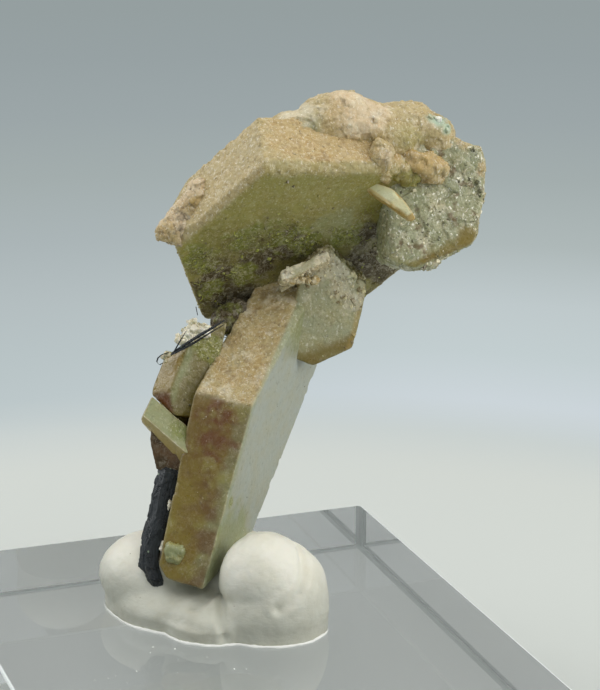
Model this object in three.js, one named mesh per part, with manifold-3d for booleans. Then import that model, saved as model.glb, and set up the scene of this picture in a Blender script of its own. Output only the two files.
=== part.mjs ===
// Catapleiite and aegirine specimen, held in putty on a clear display block.
// Millimetres, +Z up. The origin is on the block's underside, midway between its long sides and 15 mm in
// front of its back, with Y along the long sides.
import * as THREE from "three";
import { ConvexGeometry } from "three/addons/geometries/ConvexGeometry.js";
import { mergeVertices } from "three/addons/utils/BufferGeometryUtils.js";
import Module from "manifold-3d";

const wasm = await Module();
wasm.setup();

// Display block, and the gap between the putty and what is pressed into it
const blockWidth = 30;
const blockHeight = 10;
const blockFront = -19;
const blockBack = 15;
const contactGap = 0.3;

// Catapleiite plates. "at" is a point on a plate's front face and "axis" that face's outward direction.
// "depth" is the thickness behind the front face. "sides" holds one [turn, distance] pair for each side
// face, with the turn in degrees round the axis and the distance from "at". "cuts" holds
// [turn, lean, distance] faces, which lean towards the front or, below zero, towards the back.
const upperPlate = {
  at: [7.5, 4.6, 31.9],
  axis: [0.02, -0.825, -0.565],
  depth: 4.2,
  sides: [[-6.4, 6.4], [-66.4, 6.9], [-126.4, 7.7], [173.6, 7.3], [113.6, 8.1]],
  cuts: [[53.6, -10, 7.7], [53.6, 45, 5.2], [-6.4, 45, 4.2], [95, -50, 7.8]],
};

const longPlate = {
  at: [4.4, 3.1, 21.0],
  axis: [0.744, -0.654, -0.137],
  depth: 4.0,
  sides: [[35.2, 4.15], [66.8, 4.75], [-175, 7.6], [-133, 4.0], [-121, 5.2]],
  cuts: [
    [-54.8, 15.7, 6.8], [-54.8, -88, 3.75], [156.8, -86.3, 3.85], [156.8, -6.8, 11.4], [156.8, -42.7, 9.8],
    [32.4, 45, 2.85],
  ],
};

const drusePlate = {
  at: [15.2, 1.4, 34.2],
  axis: [-0.135, -0.954, 0.267],
  depth: 3.0,
  sides: [[11, 4.4], [-22, 4.2], [-81, 3.1], [-104, 2.3], [-160, 3.0], [155, 4.6], [87, 3.9]],
};

const olivePlate = {
  at: [8.8, 4.15, 27.05],
  axis: [-0.297, -0.955, 0.007],
  depth: 2.6,
  sides: [
    [-104.3, 1.6], [-99.1, 1.65], [-45.1, 2.75], [16.9, 4.25], [44.1, 3.7], [73.5, 2.7], [156.2, 3.6],
    [-155.4, 2.45],
  ],
};

const earBlade = {
  at: [10.9, 0.6, 34.7],
  axis: [-0.558, -0.507, 0.658],
  depth: 0.8,
  sides: [[50.4, 2.3], [-4.3, 1.35], [-14.5, 1.1], [-35.1, 0.9], [-45, 1.0], [-138.4, 1.45], [153.5, 0.0]],
};

const ledgeSlab = {
  at: [7.1, 4.95, 30.2],
  axis: [-0.3, -0.8, 0.52],
  depth: 1.5,
  sides: [[24, 0.3], [-72, 1.6], [-153, 0.55], [98, 1.65]],
};

const leftBlock = {
  at: [-1.0, 3.4, 24.3],
  axis: [-0.02, -0.927, 0.373],
  depth: 2.6,
  sides: [[23.4, 1.7], [-110, 1.6], [169.3, 2.55]],
  cuts: [[132.9, -15, 2.45], [81.6, -15, 2.25], [61.4, -12, 1.85], [61, 34.7, 0.6], [91.6, 37.5, 1.1]],
};

const leftPlate = {
  at: [-2.9, 2.4, 21.9],
  axis: [0.038, -0.77, 0.637],
  depth: 1.6,
  sides: [[-52.3, 0.7], [-103.8, 1.55]],
  cuts: [[127.5, 4.4, 0.7], [53, -3, 1.4], [121.1, -27, 1.1], [85.6, -18, 1.45]],
};

const brownBlock = {
  at: [-2.9, 2.3, 19.6],
  axis: [-0.48, -0.877, 0.02],
  depth: 1.8,
  sides: [[-20, 1.6], [80, 1.2], [101, 0.8], [179, 0.85], [-94, 2.2]],
};

const plates = [
  upperPlate, longPlate, drusePlate, olivePlate, earBlade, ledgeSlab, leftBlock, leftPlate, brownBlock,
];

// Rough lumps grown on the plates, as [middle, half sizes along X, Y and Z]
const crown = [
  [[7.5, 5.4, 38.5], [2.3, 2.0, 2.0]],
  [[9.1, 5.1, 39.2], [1.5, 1.7, 1.7]],
  [[10.4, 4.8, 39.2], [1.5, 1.6, 1.6]],
  [[12.0, 4.6, 38.5], [1.8, 1.5, 1.4]],
  [[13.8, 4.3, 38.6], [1.4, 1.6, 1.3]],
  [[15.3, 3.6, 38.1], [1.1, 1.4, 1.2]],
  [[12.4, 3.3, 37.9], [1.1, 1.0, 0.9]],
];
const leftRidge = [
  [[-1.4, 4.8, 33.1], [0.9, 0.9, 0.6]],
  [[-0.7, 4.9, 34.1], [0.8, 0.9, 0.9]],
  [[0.1, 5.2, 35.2], [0.7, 0.9, 0.9]],
];
const ridgeLumps = [
  [[11.1, 1.6, 36.8], [0.5, 0.6, 1.5]],
  [[12.5, 2.1, 36.2], [0.7, 0.7, 0.6]],
  [[13.8, 2.0, 36.7], [0.8, 0.7, 0.5]],
  [[14.6, 1.75, 36.1], [0.5, 0.6, 0.5]],
];
const footBead = [[-3.3, -0.8, 14.5], [0.65, 0.5, 0.6]];
const leftCore = [[-1.3, 4.7, 21.6], [1.2, 1.2, 2.0]];
const sugaryGrains = [[-0.3, 4.7, 26.8], [0.9, 0.7, 0.9]];
const druseChip = [[13.8, 1.7, 30.7], [1.2, 0.8, 0.5]];
const lumps = [
  ...crown, ...leftRidge, ...ridgeLumps, footBead, leftCore, sugaryGrains, druseChip,
];

// A lump is the hull of this many points, each this share of the way out to its ellipsoid
const lumpPoints = 26;
const lumpReach = [0.86, 1.14];

// Dark pits at the druse plate's right edge
const pits = [
  [[17.9, 0.7, 36.2], [0.35, 0.6, 0.45]],
  [[17.8, 0.6, 35.1], [0.3, 0.6, 0.4]],
];

// Small six-sided plates crusting the front of the druse plate
const crustCount = 30;
const crustSpread = { up: 3.6, across: 2.8, shift: -0.2 };
const crustRadius = [0.45, 0.95];
const crustRise = [0.1, 0.4];
const crustLean = [-0.2, 0.2];
const crustDepth = 1.4;
const crustOverhang = 0.35;

// Aegirine: a stout prism beside the long plate's foot, and a thin blade on the left block
const prism = { start: [-4.7, 0.15, 12.1], end: [-3.0, 2.35, 18.6], radius: 0.68, sideCount: 8 };
const blade = { start: [-2.2, 2.9, 26.1], end: [0.9, 3.0, 27.65], radius: 0.18, sideCount: 6 };
const firstSideTurn = 12;
const narrowSideShare = 0.88;

// Putty lobes, as [middle, half sizes along X, Y and Z]
const lobes = [
  [[2.1, -3.1, 12.6], [3.2, 3.2, 3.1]],
  [[2.0, -3.7, 11.0], [3.2, 2.9, 2.4]],
  [[-3.6, 3.1, 11.9], [3.4, 3.3, 2.55]],
  [[-2.1, -1.3, 11.0], [3.9, 4.0, 1.9]],
  [[1.4, 2.2, 11.6], [3.6, 3.6, 2.5]],
];
const lobeSteps = { around: 36, up: 24 };

// Turn that spreads points evenly over a disc or a ball
const goldenTurn = Math.PI * (3 - Math.sqrt(5));

const acrylic = new THREE.MeshStandardMaterial({
  color: 0xdfe6e8, roughness: 0.05, metalness: 0, transparent: true, opacity: 0.35,
});
const oliveTan = new THREE.MeshStandardMaterial({ color: 0x9a8a5e, roughness: 0.55, metalness: 0 });
const blueBlack = new THREE.MeshStandardMaterial({ color: 0x16181a, roughness: 0.35, metalness: 0 });
const offWhite = new THREE.MeshStandardMaterial({ color: 0xd6d1c2, roughness: 0.6, metalness: 0 });

// Seeded numbers between two limits, the same in every build
function randomFrom(seed) {
  let state = seed;
  return ([low, high]) => {
    state = (state * 16807) % 2147483647;
    return low + ((high - low) * state) / 2147483647;
  };
}

// Directions on a plate: outwards, nearest to straight up, and across
function directionsOf(axis) {
  const along = new THREE.Vector3(...axis).normalize();
  const up = new THREE.Vector3(0, 0, 1).projectOnPlane(along).normalize();
  return { along, up, across: along.clone().cross(up) };
}

// Corner points where three planes meet and no other plane cuts them off
function cornersOf(planes) {
  const corners = [];
  const matrix = new THREE.Matrix3();
  for (let i = 0; i < planes.length; i++)
    for (let j = i + 1; j < planes.length; j++)
      for (let k = j + 1; k < planes.length; k++) {
        const [a, b, c] = [planes[i], planes[j], planes[k]];
        matrix.set(...a.normal, ...b.normal, ...c.normal);
        if (Math.abs(matrix.determinant()) < 1e-4) continue;
        const reach = new THREE.Vector3(a.distance, b.distance, c.distance);
        const corner = reach.applyMatrix3(matrix.invert());
        if (planes.every((p) => p.normal.dot(corner) < p.distance + 1e-6)) corners.push(corner);
      }
  return corners;
}

// Crystal bounded by flat faces, with every face moved outwards by "grow"
function crystal({ at, axis, depth, sides, cuts = [] }, grow = 0) {
  const { along, up, across } = directionsOf(axis);
  const leaning = ([turn, lean, distance]) => {
    const [a, b] = [turn, lean].map(THREE.MathUtils.degToRad);
    const side = up.clone().multiplyScalar(Math.cos(a)).addScaledVector(across, Math.sin(a));
    const normal = side.multiplyScalar(Math.cos(b)).addScaledVector(along, Math.sin(b));
    return { normal, distance: distance + grow };
  };
  const planes = [
    { normal: along, distance: grow },
    { normal: along.clone().negate(), distance: depth + grow },
    ...sides.map(([turn, distance]) => leaning([turn, 0, distance])),
    ...cuts.map(leaning),
  ];
  const corners = cornersOf(planes).map((p) => p.add(new THREE.Vector3(...at)));
  return solidFrom(new ConvexGeometry(corners));
}

// Rough lump: the hull of points spread over an ellipsoid and pushed in or out
function lump([at, halves], index) {
  const random = randomFrom(97 + 31 * index);
  const points = Array.from({ length: lumpPoints }, (_, i) => {
    const height = 1 - (2 * i + 1) / lumpPoints;
    const flat = Math.sqrt(1 - height * height);
    const point = new THREE.Vector3(Math.cos(i * goldenTurn) * flat, Math.sin(i * goldenTurn) * flat, height);
    point.multiplyScalar(random(lumpReach)).multiply(new THREE.Vector3(...halves));
    return point.add(new THREE.Vector3(...at));
  });
  return solidFrom(new ConvexGeometry(points));
}

// Prism of uneven many-sided section from its start to its end
function prismAlong({ start, end, radius, sideCount }, grow = 0) {
  const axis = new THREE.Vector3(...end).sub(new THREE.Vector3(...start));
  const sides = Array.from({ length: sideCount }, (_, k) => {
    const distance = k % 2 ? radius : radius * narrowSideShare;
    return [(360 / sideCount) * k + firstSideTurn, distance];
  });
  return crystal({ at: end, axis: axis.toArray(), depth: axis.length(), sides }, grow);
}

// Closed solid for joining and cutting, from a three.js geometry
function solidFrom(geometry) {
  const bare = geometry.clone();
  bare.deleteAttribute("normal");
  bare.deleteAttribute("uv");
  const merged = mergeVertices(bare, 1e-4);
  const mesh = new wasm.Mesh({
    numProp: 3,
    vertProperties: new Float32Array(merged.attributes.position.array),
    triVerts: new Uint32Array(merged.index.array),
  });
  return new wasm.Manifold(mesh);
}

const join = (solids) => solids.reduce((all, one) => all.add(one));

// Named mesh from a joined or cut solid
function meshFrom(name, solid, material) {
  const { vertProperties, triVerts } = solid.getMesh();
  const geometry = new THREE.BufferGeometry();
  geometry.setAttribute("position", new THREE.BufferAttribute(vertProperties, 3));
  geometry.setIndex(new THREE.BufferAttribute(triVerts, 1));
  geometry.computeVertexNormals();
  const mesh = new THREE.Mesh(geometry, material);
  mesh.name = name;
  return mesh;
}

// Block resting on the floor plane
function blockBox() {
  const box = new THREE.BoxGeometry(blockWidth, blockBack - blockFront, blockHeight);
  return box.translate(0, (blockFront + blockBack) / 2, blockHeight / 2);
}

function displayBlock() {
  const mesh = new THREE.Mesh(blockBox(), acrylic);
  mesh.name = "display_block";
  return mesh;
}

// Putty pressed flat on the block, with a pocket for the long plate's foot and the prism's
function putty() {
  const ball = new THREE.SphereGeometry(1, lobeSteps.around, lobeSteps.up);
  const lobeSolids = lobes.map(([at, halves]) => solidFrom(ball.clone().scale(...halves).translate(...at)));
  const pocket = crystal(longPlate, contactGap).add(prismAlong(prism, contactGap));
  const solid = join(lobeSolids).subtract(solidFrom(blockBox())).subtract(pocket);
  return meshFrom("putty", solid, offWhite);
}

// Small plates over the front of the druse plate, each turned and leaning its own way
function crust() {
  const random = randomFrom(4178);
  const { along, up, across } = directionsOf(drusePlate.axis);
  const small = Array.from({ length: crustCount }, (_, i) => {
    const reach = Math.sqrt((i + 0.5) / crustCount);
    const at = new THREE.Vector3(...drusePlate.at)
      .addScaledVector(up, crustSpread.up * reach * Math.cos(i * goldenTurn))
      .addScaledVector(across, crustSpread.across * reach * Math.sin(i * goldenTurn) + crustSpread.shift)
      .addScaledVector(along, random(crustRise));
    const axis = along.clone()
      .addScaledVector(up, random(crustLean))
      .addScaledVector(across, random(crustLean));
    const [radius, start] = [random(crustRadius), random([0, 60])];
    const sides = Array.from({ length: 6 }, (_, k) => [start + 60 * k, radius * random(lumpReach)]);
    return crystal({ at: at.toArray(), axis: axis.toArray(), depth: crustDepth, sides });
  });
  return join(small).intersect(crystal(drusePlate, crustOverhang));
}

// All the plates, lumps and crusts, grown into one another
function catapleiite() {
  const grown = join([...plates.map((plate) => crystal(plate)), ...lumps.map(lump), crust()]);
  const solid = grown.subtract(join(pits.map(lump)));
  return meshFrom("catapleiite_crystals", solid, oliveTan);
}

const specimen = new THREE.Group();
specimen.add(
  displayBlock(),
  putty(),
  catapleiite(),
  meshFrom("aegirine_prism", prismAlong(prism), blueBlack),
  meshFrom("aegirine_blade", prismAlong(blade), blueBlack),
);

export default specimen;
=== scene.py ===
# Catapleiite and aegirine specimen in putty on a clear display block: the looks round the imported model.
# Lengths in the dictionaries are millimetres in the model's own frame, and colours are sRGB from 0 to 255.
import math
import bmesh
import bpy
import numpy as np
from mathutils import Euler, Matrix, Vector


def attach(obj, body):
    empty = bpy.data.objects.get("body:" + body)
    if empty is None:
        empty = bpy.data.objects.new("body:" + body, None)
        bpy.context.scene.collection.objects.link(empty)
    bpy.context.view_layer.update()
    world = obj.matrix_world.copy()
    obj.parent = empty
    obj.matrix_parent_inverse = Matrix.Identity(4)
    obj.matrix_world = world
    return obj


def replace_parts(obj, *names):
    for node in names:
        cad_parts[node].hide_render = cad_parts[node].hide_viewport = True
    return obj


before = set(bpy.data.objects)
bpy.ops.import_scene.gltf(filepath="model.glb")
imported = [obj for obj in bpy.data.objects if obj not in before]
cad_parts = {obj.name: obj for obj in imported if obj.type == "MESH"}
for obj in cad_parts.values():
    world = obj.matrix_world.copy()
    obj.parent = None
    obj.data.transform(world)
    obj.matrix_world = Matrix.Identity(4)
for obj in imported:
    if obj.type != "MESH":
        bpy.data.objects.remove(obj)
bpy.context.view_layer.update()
scene = bpy.context.scene
scene.view_settings.view_transform = "Standard"
mm = 0.001


def unit(v):
    v = np.asarray(v, float)
    return v / np.linalg.norm(v, axis=-1, keepdims=True)


def linear(colour):  # sRGB 0-255 to the linear values that shaders take
    c = np.asarray(colour, float) / 255
    return np.where(c <= 0.04045, c / 12.92, ((c + 0.055) / 1.055) ** 2.4)


def softStep(x, low, high):
    t = np.clip((x - low) / (high - low), 0, 1)
    return t * t * (3 - 2 * t)


# Noise on points in space: the same number for the same place and seed in every run
def hashed(cell, seed):
    x, y, z = cell[..., 0], cell[..., 1], cell[..., 2]
    h = (x * 73856093) ^ (y * 19349663) ^ (z * 83492791) ^ (seed * 2971215073)
    h = ((h ^ (h >> 15)) * 2246822519) & 0xFFFFFFFF
    h = ((h ^ (h >> 13)) * 3266489917) & 0xFFFFFFFF
    return ((h ^ (h >> 16)) & 0xFFFFFF) / 0xFFFFFF


def smoothNoise(points, size, seed):
    q = points / size
    cell = np.floor(q).astype(np.int64)
    t = q - cell
    t = t * t * t * (t * (t * 6 - 15) + 10)
    total = 0
    for corner in np.ndindex(2, 2, 2):
        share = np.prod(np.where(corner, t, 1 - t), axis=1)
        total = total + share * hashed(cell + np.array(corner), seed)
    return 2 * total - 1


def fractal(points, size, seed, layers=3):
    total = sum(smoothNoise(points, size / 2**k, seed + 17 * k) / 2**k for k in range(layers))
    return total / (2 - 0.5 ** (layers - 1))


def cellNoise(points, size, seed):  # slanting facets, each round the nearest of many scattered points
    q = points / size
    cell = np.floor(q).astype(np.int64)
    nearest, facet = np.full(len(points), 9.0), np.zeros(len(points))
    for step in np.ndindex(3, 3, 3):
        other = cell + np.array(step) - 1
        spot = np.stack([hashed(other, seed + k) for k in range(3)], axis=1)
        slant = np.stack([hashed(other, seed + k) for k in range(3, 6)], axis=1) - 0.5
        away = q - other - spot
        distance = np.linalg.norm(away, axis=1)
        closer = distance < nearest
        nearest = np.where(closer, distance, nearest)
        facet = np.where(closer, (away * slant).sum(1) + 0.5 * slant[:, 0], facet)
    return facet


# Meshes
def meshFrom(name, verts, faces):
    mesh = bpy.data.meshes.new(name)
    mesh.from_pydata([tuple(v) for v in verts], [], [tuple(int(i) for i in f) for f in faces])
    mesh.update()
    return mesh


def arraysOf(mesh):  # vertices and faces of a mesh whose faces all have as many corners
    verts = np.empty(len(mesh.vertices) * 3, np.float32)
    mesh.vertices.foreach_get("co", verts)
    corners = np.empty(len(mesh.loops), np.int32)
    mesh.loops.foreach_get("vertex_index", corners)
    return verts.reshape(-1, 3).astype(float), corners.reshape(len(mesh.polygons), -1)


def baked(obj):  # plain mesh of an object with its modifiers; the object goes
    graph = bpy.context.evaluated_depsgraph_get()
    done = obj.evaluated_get(graph)
    mesh = bpy.data.meshes.new_from_object(done, preserve_all_data_layers=True, depsgraph=graph)
    bpy.data.objects.remove(obj)
    mesh.name = "work"
    return mesh


def workObject(mesh):
    obj = bpy.data.objects.new(mesh.name + ".work", mesh)
    scene.collection.objects.link(obj)
    return obj


def hull(points):
    bm = bmesh.new()
    for p in points:
        bm.verts.new(p)
    bmesh.ops.convex_hull(bm, input=bm.verts)
    loose = [v for v in bm.verts if not v.link_faces]
    bmesh.ops.delete(bm, geom=loose, context="VERTS")
    bmesh.ops.recalc_face_normals(bm, faces=bm.faces)
    bm.verts.index_update()
    verts = np.array([v.co for v in bm.verts])
    faces = [[v.index for v in f.verts] for f in bm.faces]
    bm.free()
    return verts, faces


def evenMesh(name, shells, voxel):  # one closed, even mesh round one or several closed shells
    verts, faces = [], []
    for v, f in shells:
        faces += [[i + len(verts) for i in face] for face in f]
        verts += list(v)
    obj = workObject(meshFrom(name + ".shell", verts, faces))
    remesh = obj.modifiers.new("even", "REMESH")
    remesh.mode, remesh.voxel_size = "VOXEL", voxel
    return arraysOf(baked(obj))


def slopeOf(field, points, step=0.01):
    sides = [field(points + step * axis) - field(points - step * axis) for axis in np.eye(3)]
    return np.stack(sides, axis=1) / (2 * step)


def settle(points, field, rounds=3):  # moves points onto the surface where field is zero
    for _ in range(rounds):
        slope = slopeOf(field, points)
        steep = np.maximum((slope**2).sum(1), 0.05)
        points = points - slope * (field(points) / steep)[:, None]
    return points, unit(slopeOf(field, points))


def addPiece(mesh, material, smooth=True):
    obj = bpy.data.objects.new(mesh.name, mesh)
    scene.collection.objects.link(obj)
    mesh.materials.clear()
    mesh.materials.append(material)
    mesh.polygons.foreach_set("use_smooth", [smooth] * len(mesh.polygons))
    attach(obj, "root")
    triangles = sum(len(p.vertices) - 2 for p in mesh.polygons)
    print(f"{mesh.name}: {triangles} triangles")
    return obj


def colourLayer(mesh, name, values):
    layer = mesh.attributes.new(name, "FLOAT_COLOR", "POINT")
    layer.data.foreach_set("color", np.asarray(values, np.float32).ravel())


# Node trees: Net adds nodes, and Wire is an output that takes part in sums and products
class Wire:
    def __init__(self, net, socket):
        self.net, self.socket = net, socket

    def out(self, name):
        return Wire(self.net, self.socket.node.outputs[name])

    def __add__(self, other):
        return self.net.maths("ADD", self, other)

    def __sub__(self, other):
        return self.net.maths("SUBTRACT", self, other)

    def __rsub__(self, other):
        return self.net.maths("SUBTRACT", other, self)

    def __mul__(self, other):
        return self.net.maths("MULTIPLY", self, other)

    def __truediv__(self, other):
        return self.net.maths("DIVIDE", self, other)

    def __rtruediv__(self, other):
        return self.net.maths("DIVIDE", other, self)

    def __gt__(self, other):
        return self.net.maths("GREATER_THAN", self, other)

    __radd__, __rmul__ = __add__, __mul__

    def between(self, low, high):  # 0 below low, 1 above high
        sockets = {"Value": self, "From Min": low, "From Max": high}
        return self.net.add("ShaderNodeMapRange", {"interpolation_type": "SMOOTHSTEP"}, sockets)


class Net:
    def __init__(self, tree):
        self.tree = tree

    def add(self, kind, settings=None, sockets=None, out=0):
        node = self.tree.nodes.new(kind)
        for key, value in (settings or {}).items():
            if key == "stops":
                for i, (place, colour) in enumerate(value):
                    stop = node.color_ramp.elements[i] if i < 2 else node.color_ramp.elements.new(place)
                    stop.position, stop.color = place, (*linear(colour), 1)
            else:
                setattr(node, key, value)
        for key, value in (sockets or {}).items():
            if isinstance(value, Wire):
                self.tree.links.new(value.socket, node.inputs[key])
            elif isinstance(value, list):  # several links into one socket
                for wire in value:
                    self.tree.links.new(wire.socket, node.inputs[key])
            else:
                node.inputs[key].default_value = value
        return Wire(self, node.outputs[out]) if node.outputs else node

    def maths(self, operation, a, b=0.0):
        return self.add("ShaderNodeMath", {"operation": operation}, {0: a, 1: b})

    def vector(self, operation, a, b=(0, 0, 0), out=0):
        return self.add("ShaderNodeVectorMath", {"operation": operation}, {0: a, 1: b}, out)

    def scaled(self, vector, factor):
        return self.add("ShaderNodeVectorMath", {"operation": "SCALE"}, {"Vector": vector, "Scale": factor})

    def mix(self, factor, a, b, blend="MIX"):  # a and b are colours: wires, or sRGB 0-255
        a, b = [v if isinstance(v, Wire) else (*linear(v), 1) for v in (a, b)]
        settings = {"data_type": "RGBA", "blend_type": blend, "clamp_factor": True}
        return self.add("ShaderNodeMix", settings, {0: factor, 6: a, 7: b}, out=2)

    def noise(self, vector, scale, detail=3.0, rough=0.55):
        sockets = {"Vector": vector, "Scale": scale, "Detail": detail, "Roughness": rough}
        return self.add("ShaderNodeTexNoise", None, sockets)

    def cells(self, vector, scale):
        return self.add("ShaderNodeTexVoronoi", None, {"Vector": vector, "Scale": scale}, "Distance")

    def random(self, seed, low=0.0, high=1.0):
        return self.add("FunctionNodeRandomValue", {"data_type": "FLOAT"}, {2: low, 3: high, 8: seed}, out=1)

    def joined(self, x, y, z):
        return self.add("ShaderNodeCombineXYZ", None, {0: x, 1: y, 2: z})

    def parted(self, vector, out=0):
        return self.add("ShaderNodeSeparateXYZ", None, {0: vector}, out)

    def channels(self, colour):
        return self.add("ShaderNodeSeparateColor", None, {0: colour})

    def painted(self, name, out="Color"):  # in a material: what the mesh carries under a name
        return self.add("ShaderNodeAttribute", {"attribute_name": name}, out=out)

    def named(self, name, kind="FLOAT"):  # the same in a geometry group
        return self.add("GeometryNodeInputNamedAttribute", {"data_type": kind}, {"Name": name})

    def bump(self, height, strength, depth=0.05, **more):  # depth in mm
        sockets = {"Strength": strength, "Distance": depth * mm, "Height": height, **more}
        return self.add("ShaderNodeBump", None, sockets)


def newMaterial(name, constants):  # a material with its shader's fixed values, ready for the rest
    material = bpy.data.materials.new(name)
    material.use_nodes = True
    shader = material.node_tree.nodes["Principled BSDF"]
    for key, value in constants.items():
        shader.inputs[key].default_value = value
    net = Net(material.node_tree)
    inMm = net.scaled(net.add("ShaderNodeTexCoord").out("Object"), 1 / mm)
    return material, net, inMm, shader.inputs


def feed(net, wire, socket):
    net.tree.links.new(wire.socket, socket)


# Geometry node groups: the mesh that they grow on comes in, and the grown mesh comes out
def newGroup(name, inputs):  # inputs are names, listed under their kind
    group = bpy.data.node_groups.new(name, "GeometryNodeTree")
    group.interface.new_socket("Mesh", in_out="OUTPUT", socket_type="NodeSocketGeometry")
    for kind, names in {"Geometry": ["Mesh"], **inputs}.items():
        for key in names:
            group.interface.new_socket(key, in_out="INPUT", socket_type="NodeSocket" + kind)
    net = Net(group)
    return group, net, net.add("NodeGroupInput")


def closeGroup(net, wire, material):
    real = net.add("GeometryNodeRealizeInstances", None, {0: wire})
    dressed = net.add("GeometryNodeSetMaterial", None, {"Geometry": real, "Material": material})
    net.add("NodeGroupOutput", None, {0: dressed})


def grown(name, carrier, group, values):  # plain mesh of what a group grows on a carrier
    obj = workObject(carrier)
    modifier = obj.modifiers.new("grow", "NODES")
    modifier.node_group = group
    for item in group.interface.items_tree:
        if item.in_out == "INPUT" and item.name in values:
            modifier[item.identifier] = values[item.name]
    mesh = baked(obj)
    mesh.name = name
    return mesh


def tinted(net, seed, entry):  # the carrier's colour, lighter or darker from one instance to the next
    paint = net.named("paint", "FLOAT_COLOR")
    tone = net.random(seed)
    lighter = net.mix(tone.between(0.55, 1.0) * entry.out("Shade"), paint, entry.out("Light"))
    return net.mix(tone.between(0.4, 0.05) * entry.out("Shade"), lighter, entry.out("Dark"))


def scatter(net, entry):  # points spread on the carrier where the named attribute says
    spacing = entry.out("Spacing")
    return net.add("GeometryNodeDistributePointsOnFaces", {"distribute_method": "POISSON"}, {
        "Mesh": entry, "Distance Min": spacing, "Density Max": 0.9 / (spacing * spacing),
        "Density Factor": net.named(entry.out("Where")), "Seed": entry.out("Seed")})


def plant(net, entry, points, offset, seed, sockets):  # instances on the moved points, each with its colour
    moved = net.add("GeometryNodeSetPosition", None, {"Geometry": points, "Offset": offset})
    instances = net.add("GeometryNodeInstanceOnPoints", None, {"Points": moved, **sockets})
    settings = {"data_type": "FLOAT_COLOR", "domain": "INSTANCE"}
    tint = tinted(net, seed, entry)
    painted = net.add("GeometryNodeStoreNamedAttribute", settings, {
        "Geometry": instances, "Name": "paint", "Value": tint})
    closeGroup(net, painted, entry.out("Material"))


growthInputs = {"String": ["Where"], "Color": ["Light", "Dark"], "Int": ["Seed"], "Material": ["Material"]}


def grainGroup():  # blocky grains, six-sided grains and lumps, sunk in the surface
    group, net, entry = newGroup("grains", {
        "Float": ["Spacing", "Smallest", "Largest", "Sink", "Shade"], **growthInputs})
    seed, smallest = entry.out("Seed"), entry.out("Smallest")
    points = scatter(net, entry)
    chance = net.random(seed + 1)
    size = smallest + (entry.out("Largest") - smallest) * chance * chance
    sunk = net.scaled(points.out("Normal"), size * entry.out("Sink") * -1)
    shapes = [
        net.add("GeometryNodeMeshCube", None, {"Size": (0.8, 0.8, 0.8)}),
        net.add("GeometryNodeMeshCylinder", None, {"Vertices": 6, "Radius": 0.55, "Depth": 0.5}),
        net.add("GeometryNodeMeshIcoSphere", None, {"Radius": 0.5, "Subdivisions": 1})]
    single = [net.add("GeometryNodeGeometryToInstance", None, {0: shape}) for shape in shapes]
    kinds = net.add("GeometryNodeJoinGeometry", None, {0: single})
    turns = net.joined(*[net.random(seed + k, 0.0, 2 * math.pi) for k in (2, 3, 4)])
    sizes = net.joined(*[size * net.random(seed + k, 0.65, 1.35) for k in (5, 6, 7)])
    kind = net.maths("FLOOR", net.random(seed + 8, 0.0, 2.999))
    turned = net.add("FunctionNodeEulerToRotation", None, {0: turns})
    plant(net, entry, points, sunk, seed + 9, {
        "Instance": kinds, "Pick Instance": True, "Instance Index": kind, "Rotation": turned, "Scale": sizes})
    return group


def fibreGroup():  # short bent fibres lying on the surface
    group, net, entry = newGroup("fibres", {
        "Float": ["Spacing", "Length", "Thickness", "Lift", "Shade"], **growthInputs})
    seed = entry.out("Seed")
    points = scatter(net, entry)
    bent = net.add("GeometryNodeCurveQuadraticBezier", None, {
        "Resolution": 4, "Start": (-0.5, 0, 0), "Middle": (0.1, 0.35, 0.15), "End": (0.5, -0.1, 0.08)})
    profile = {"Resolution": 3, "Radius": entry.out("Thickness")}
    ring = net.add("GeometryNodeCurvePrimitiveCircle", None, profile)
    fibre = net.add("GeometryNodeCurveToMesh", None, {
        "Curve": bent, "Profile Curve": ring, "Fill Caps": True})
    rock = [net.random(seed + k, -0.35, 0.35) for k in (1, 2)]
    yaw = net.joined(*rock, net.random(seed + 3, 0.0, 2 * math.pi))
    turned = net.add("FunctionNodeRotateRotation", {"rotation_space": "LOCAL"}, {
        0: points.out("Rotation"), 1: net.add("FunctionNodeEulerToRotation", None, {0: yaw})})
    size = entry.out("Length") * net.random(seed + 4, 0.4, 1.3)
    sizes = net.joined(size, size * net.random(seed + 5, -1.0, 1.0), size)
    raised = net.scaled(points.out("Normal"), entry.out("Lift"))
    plant(net, entry, points, raised, seed + 6, {"Instance": fibre, "Rotation": turned, "Scale": sizes})
    return group


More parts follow.
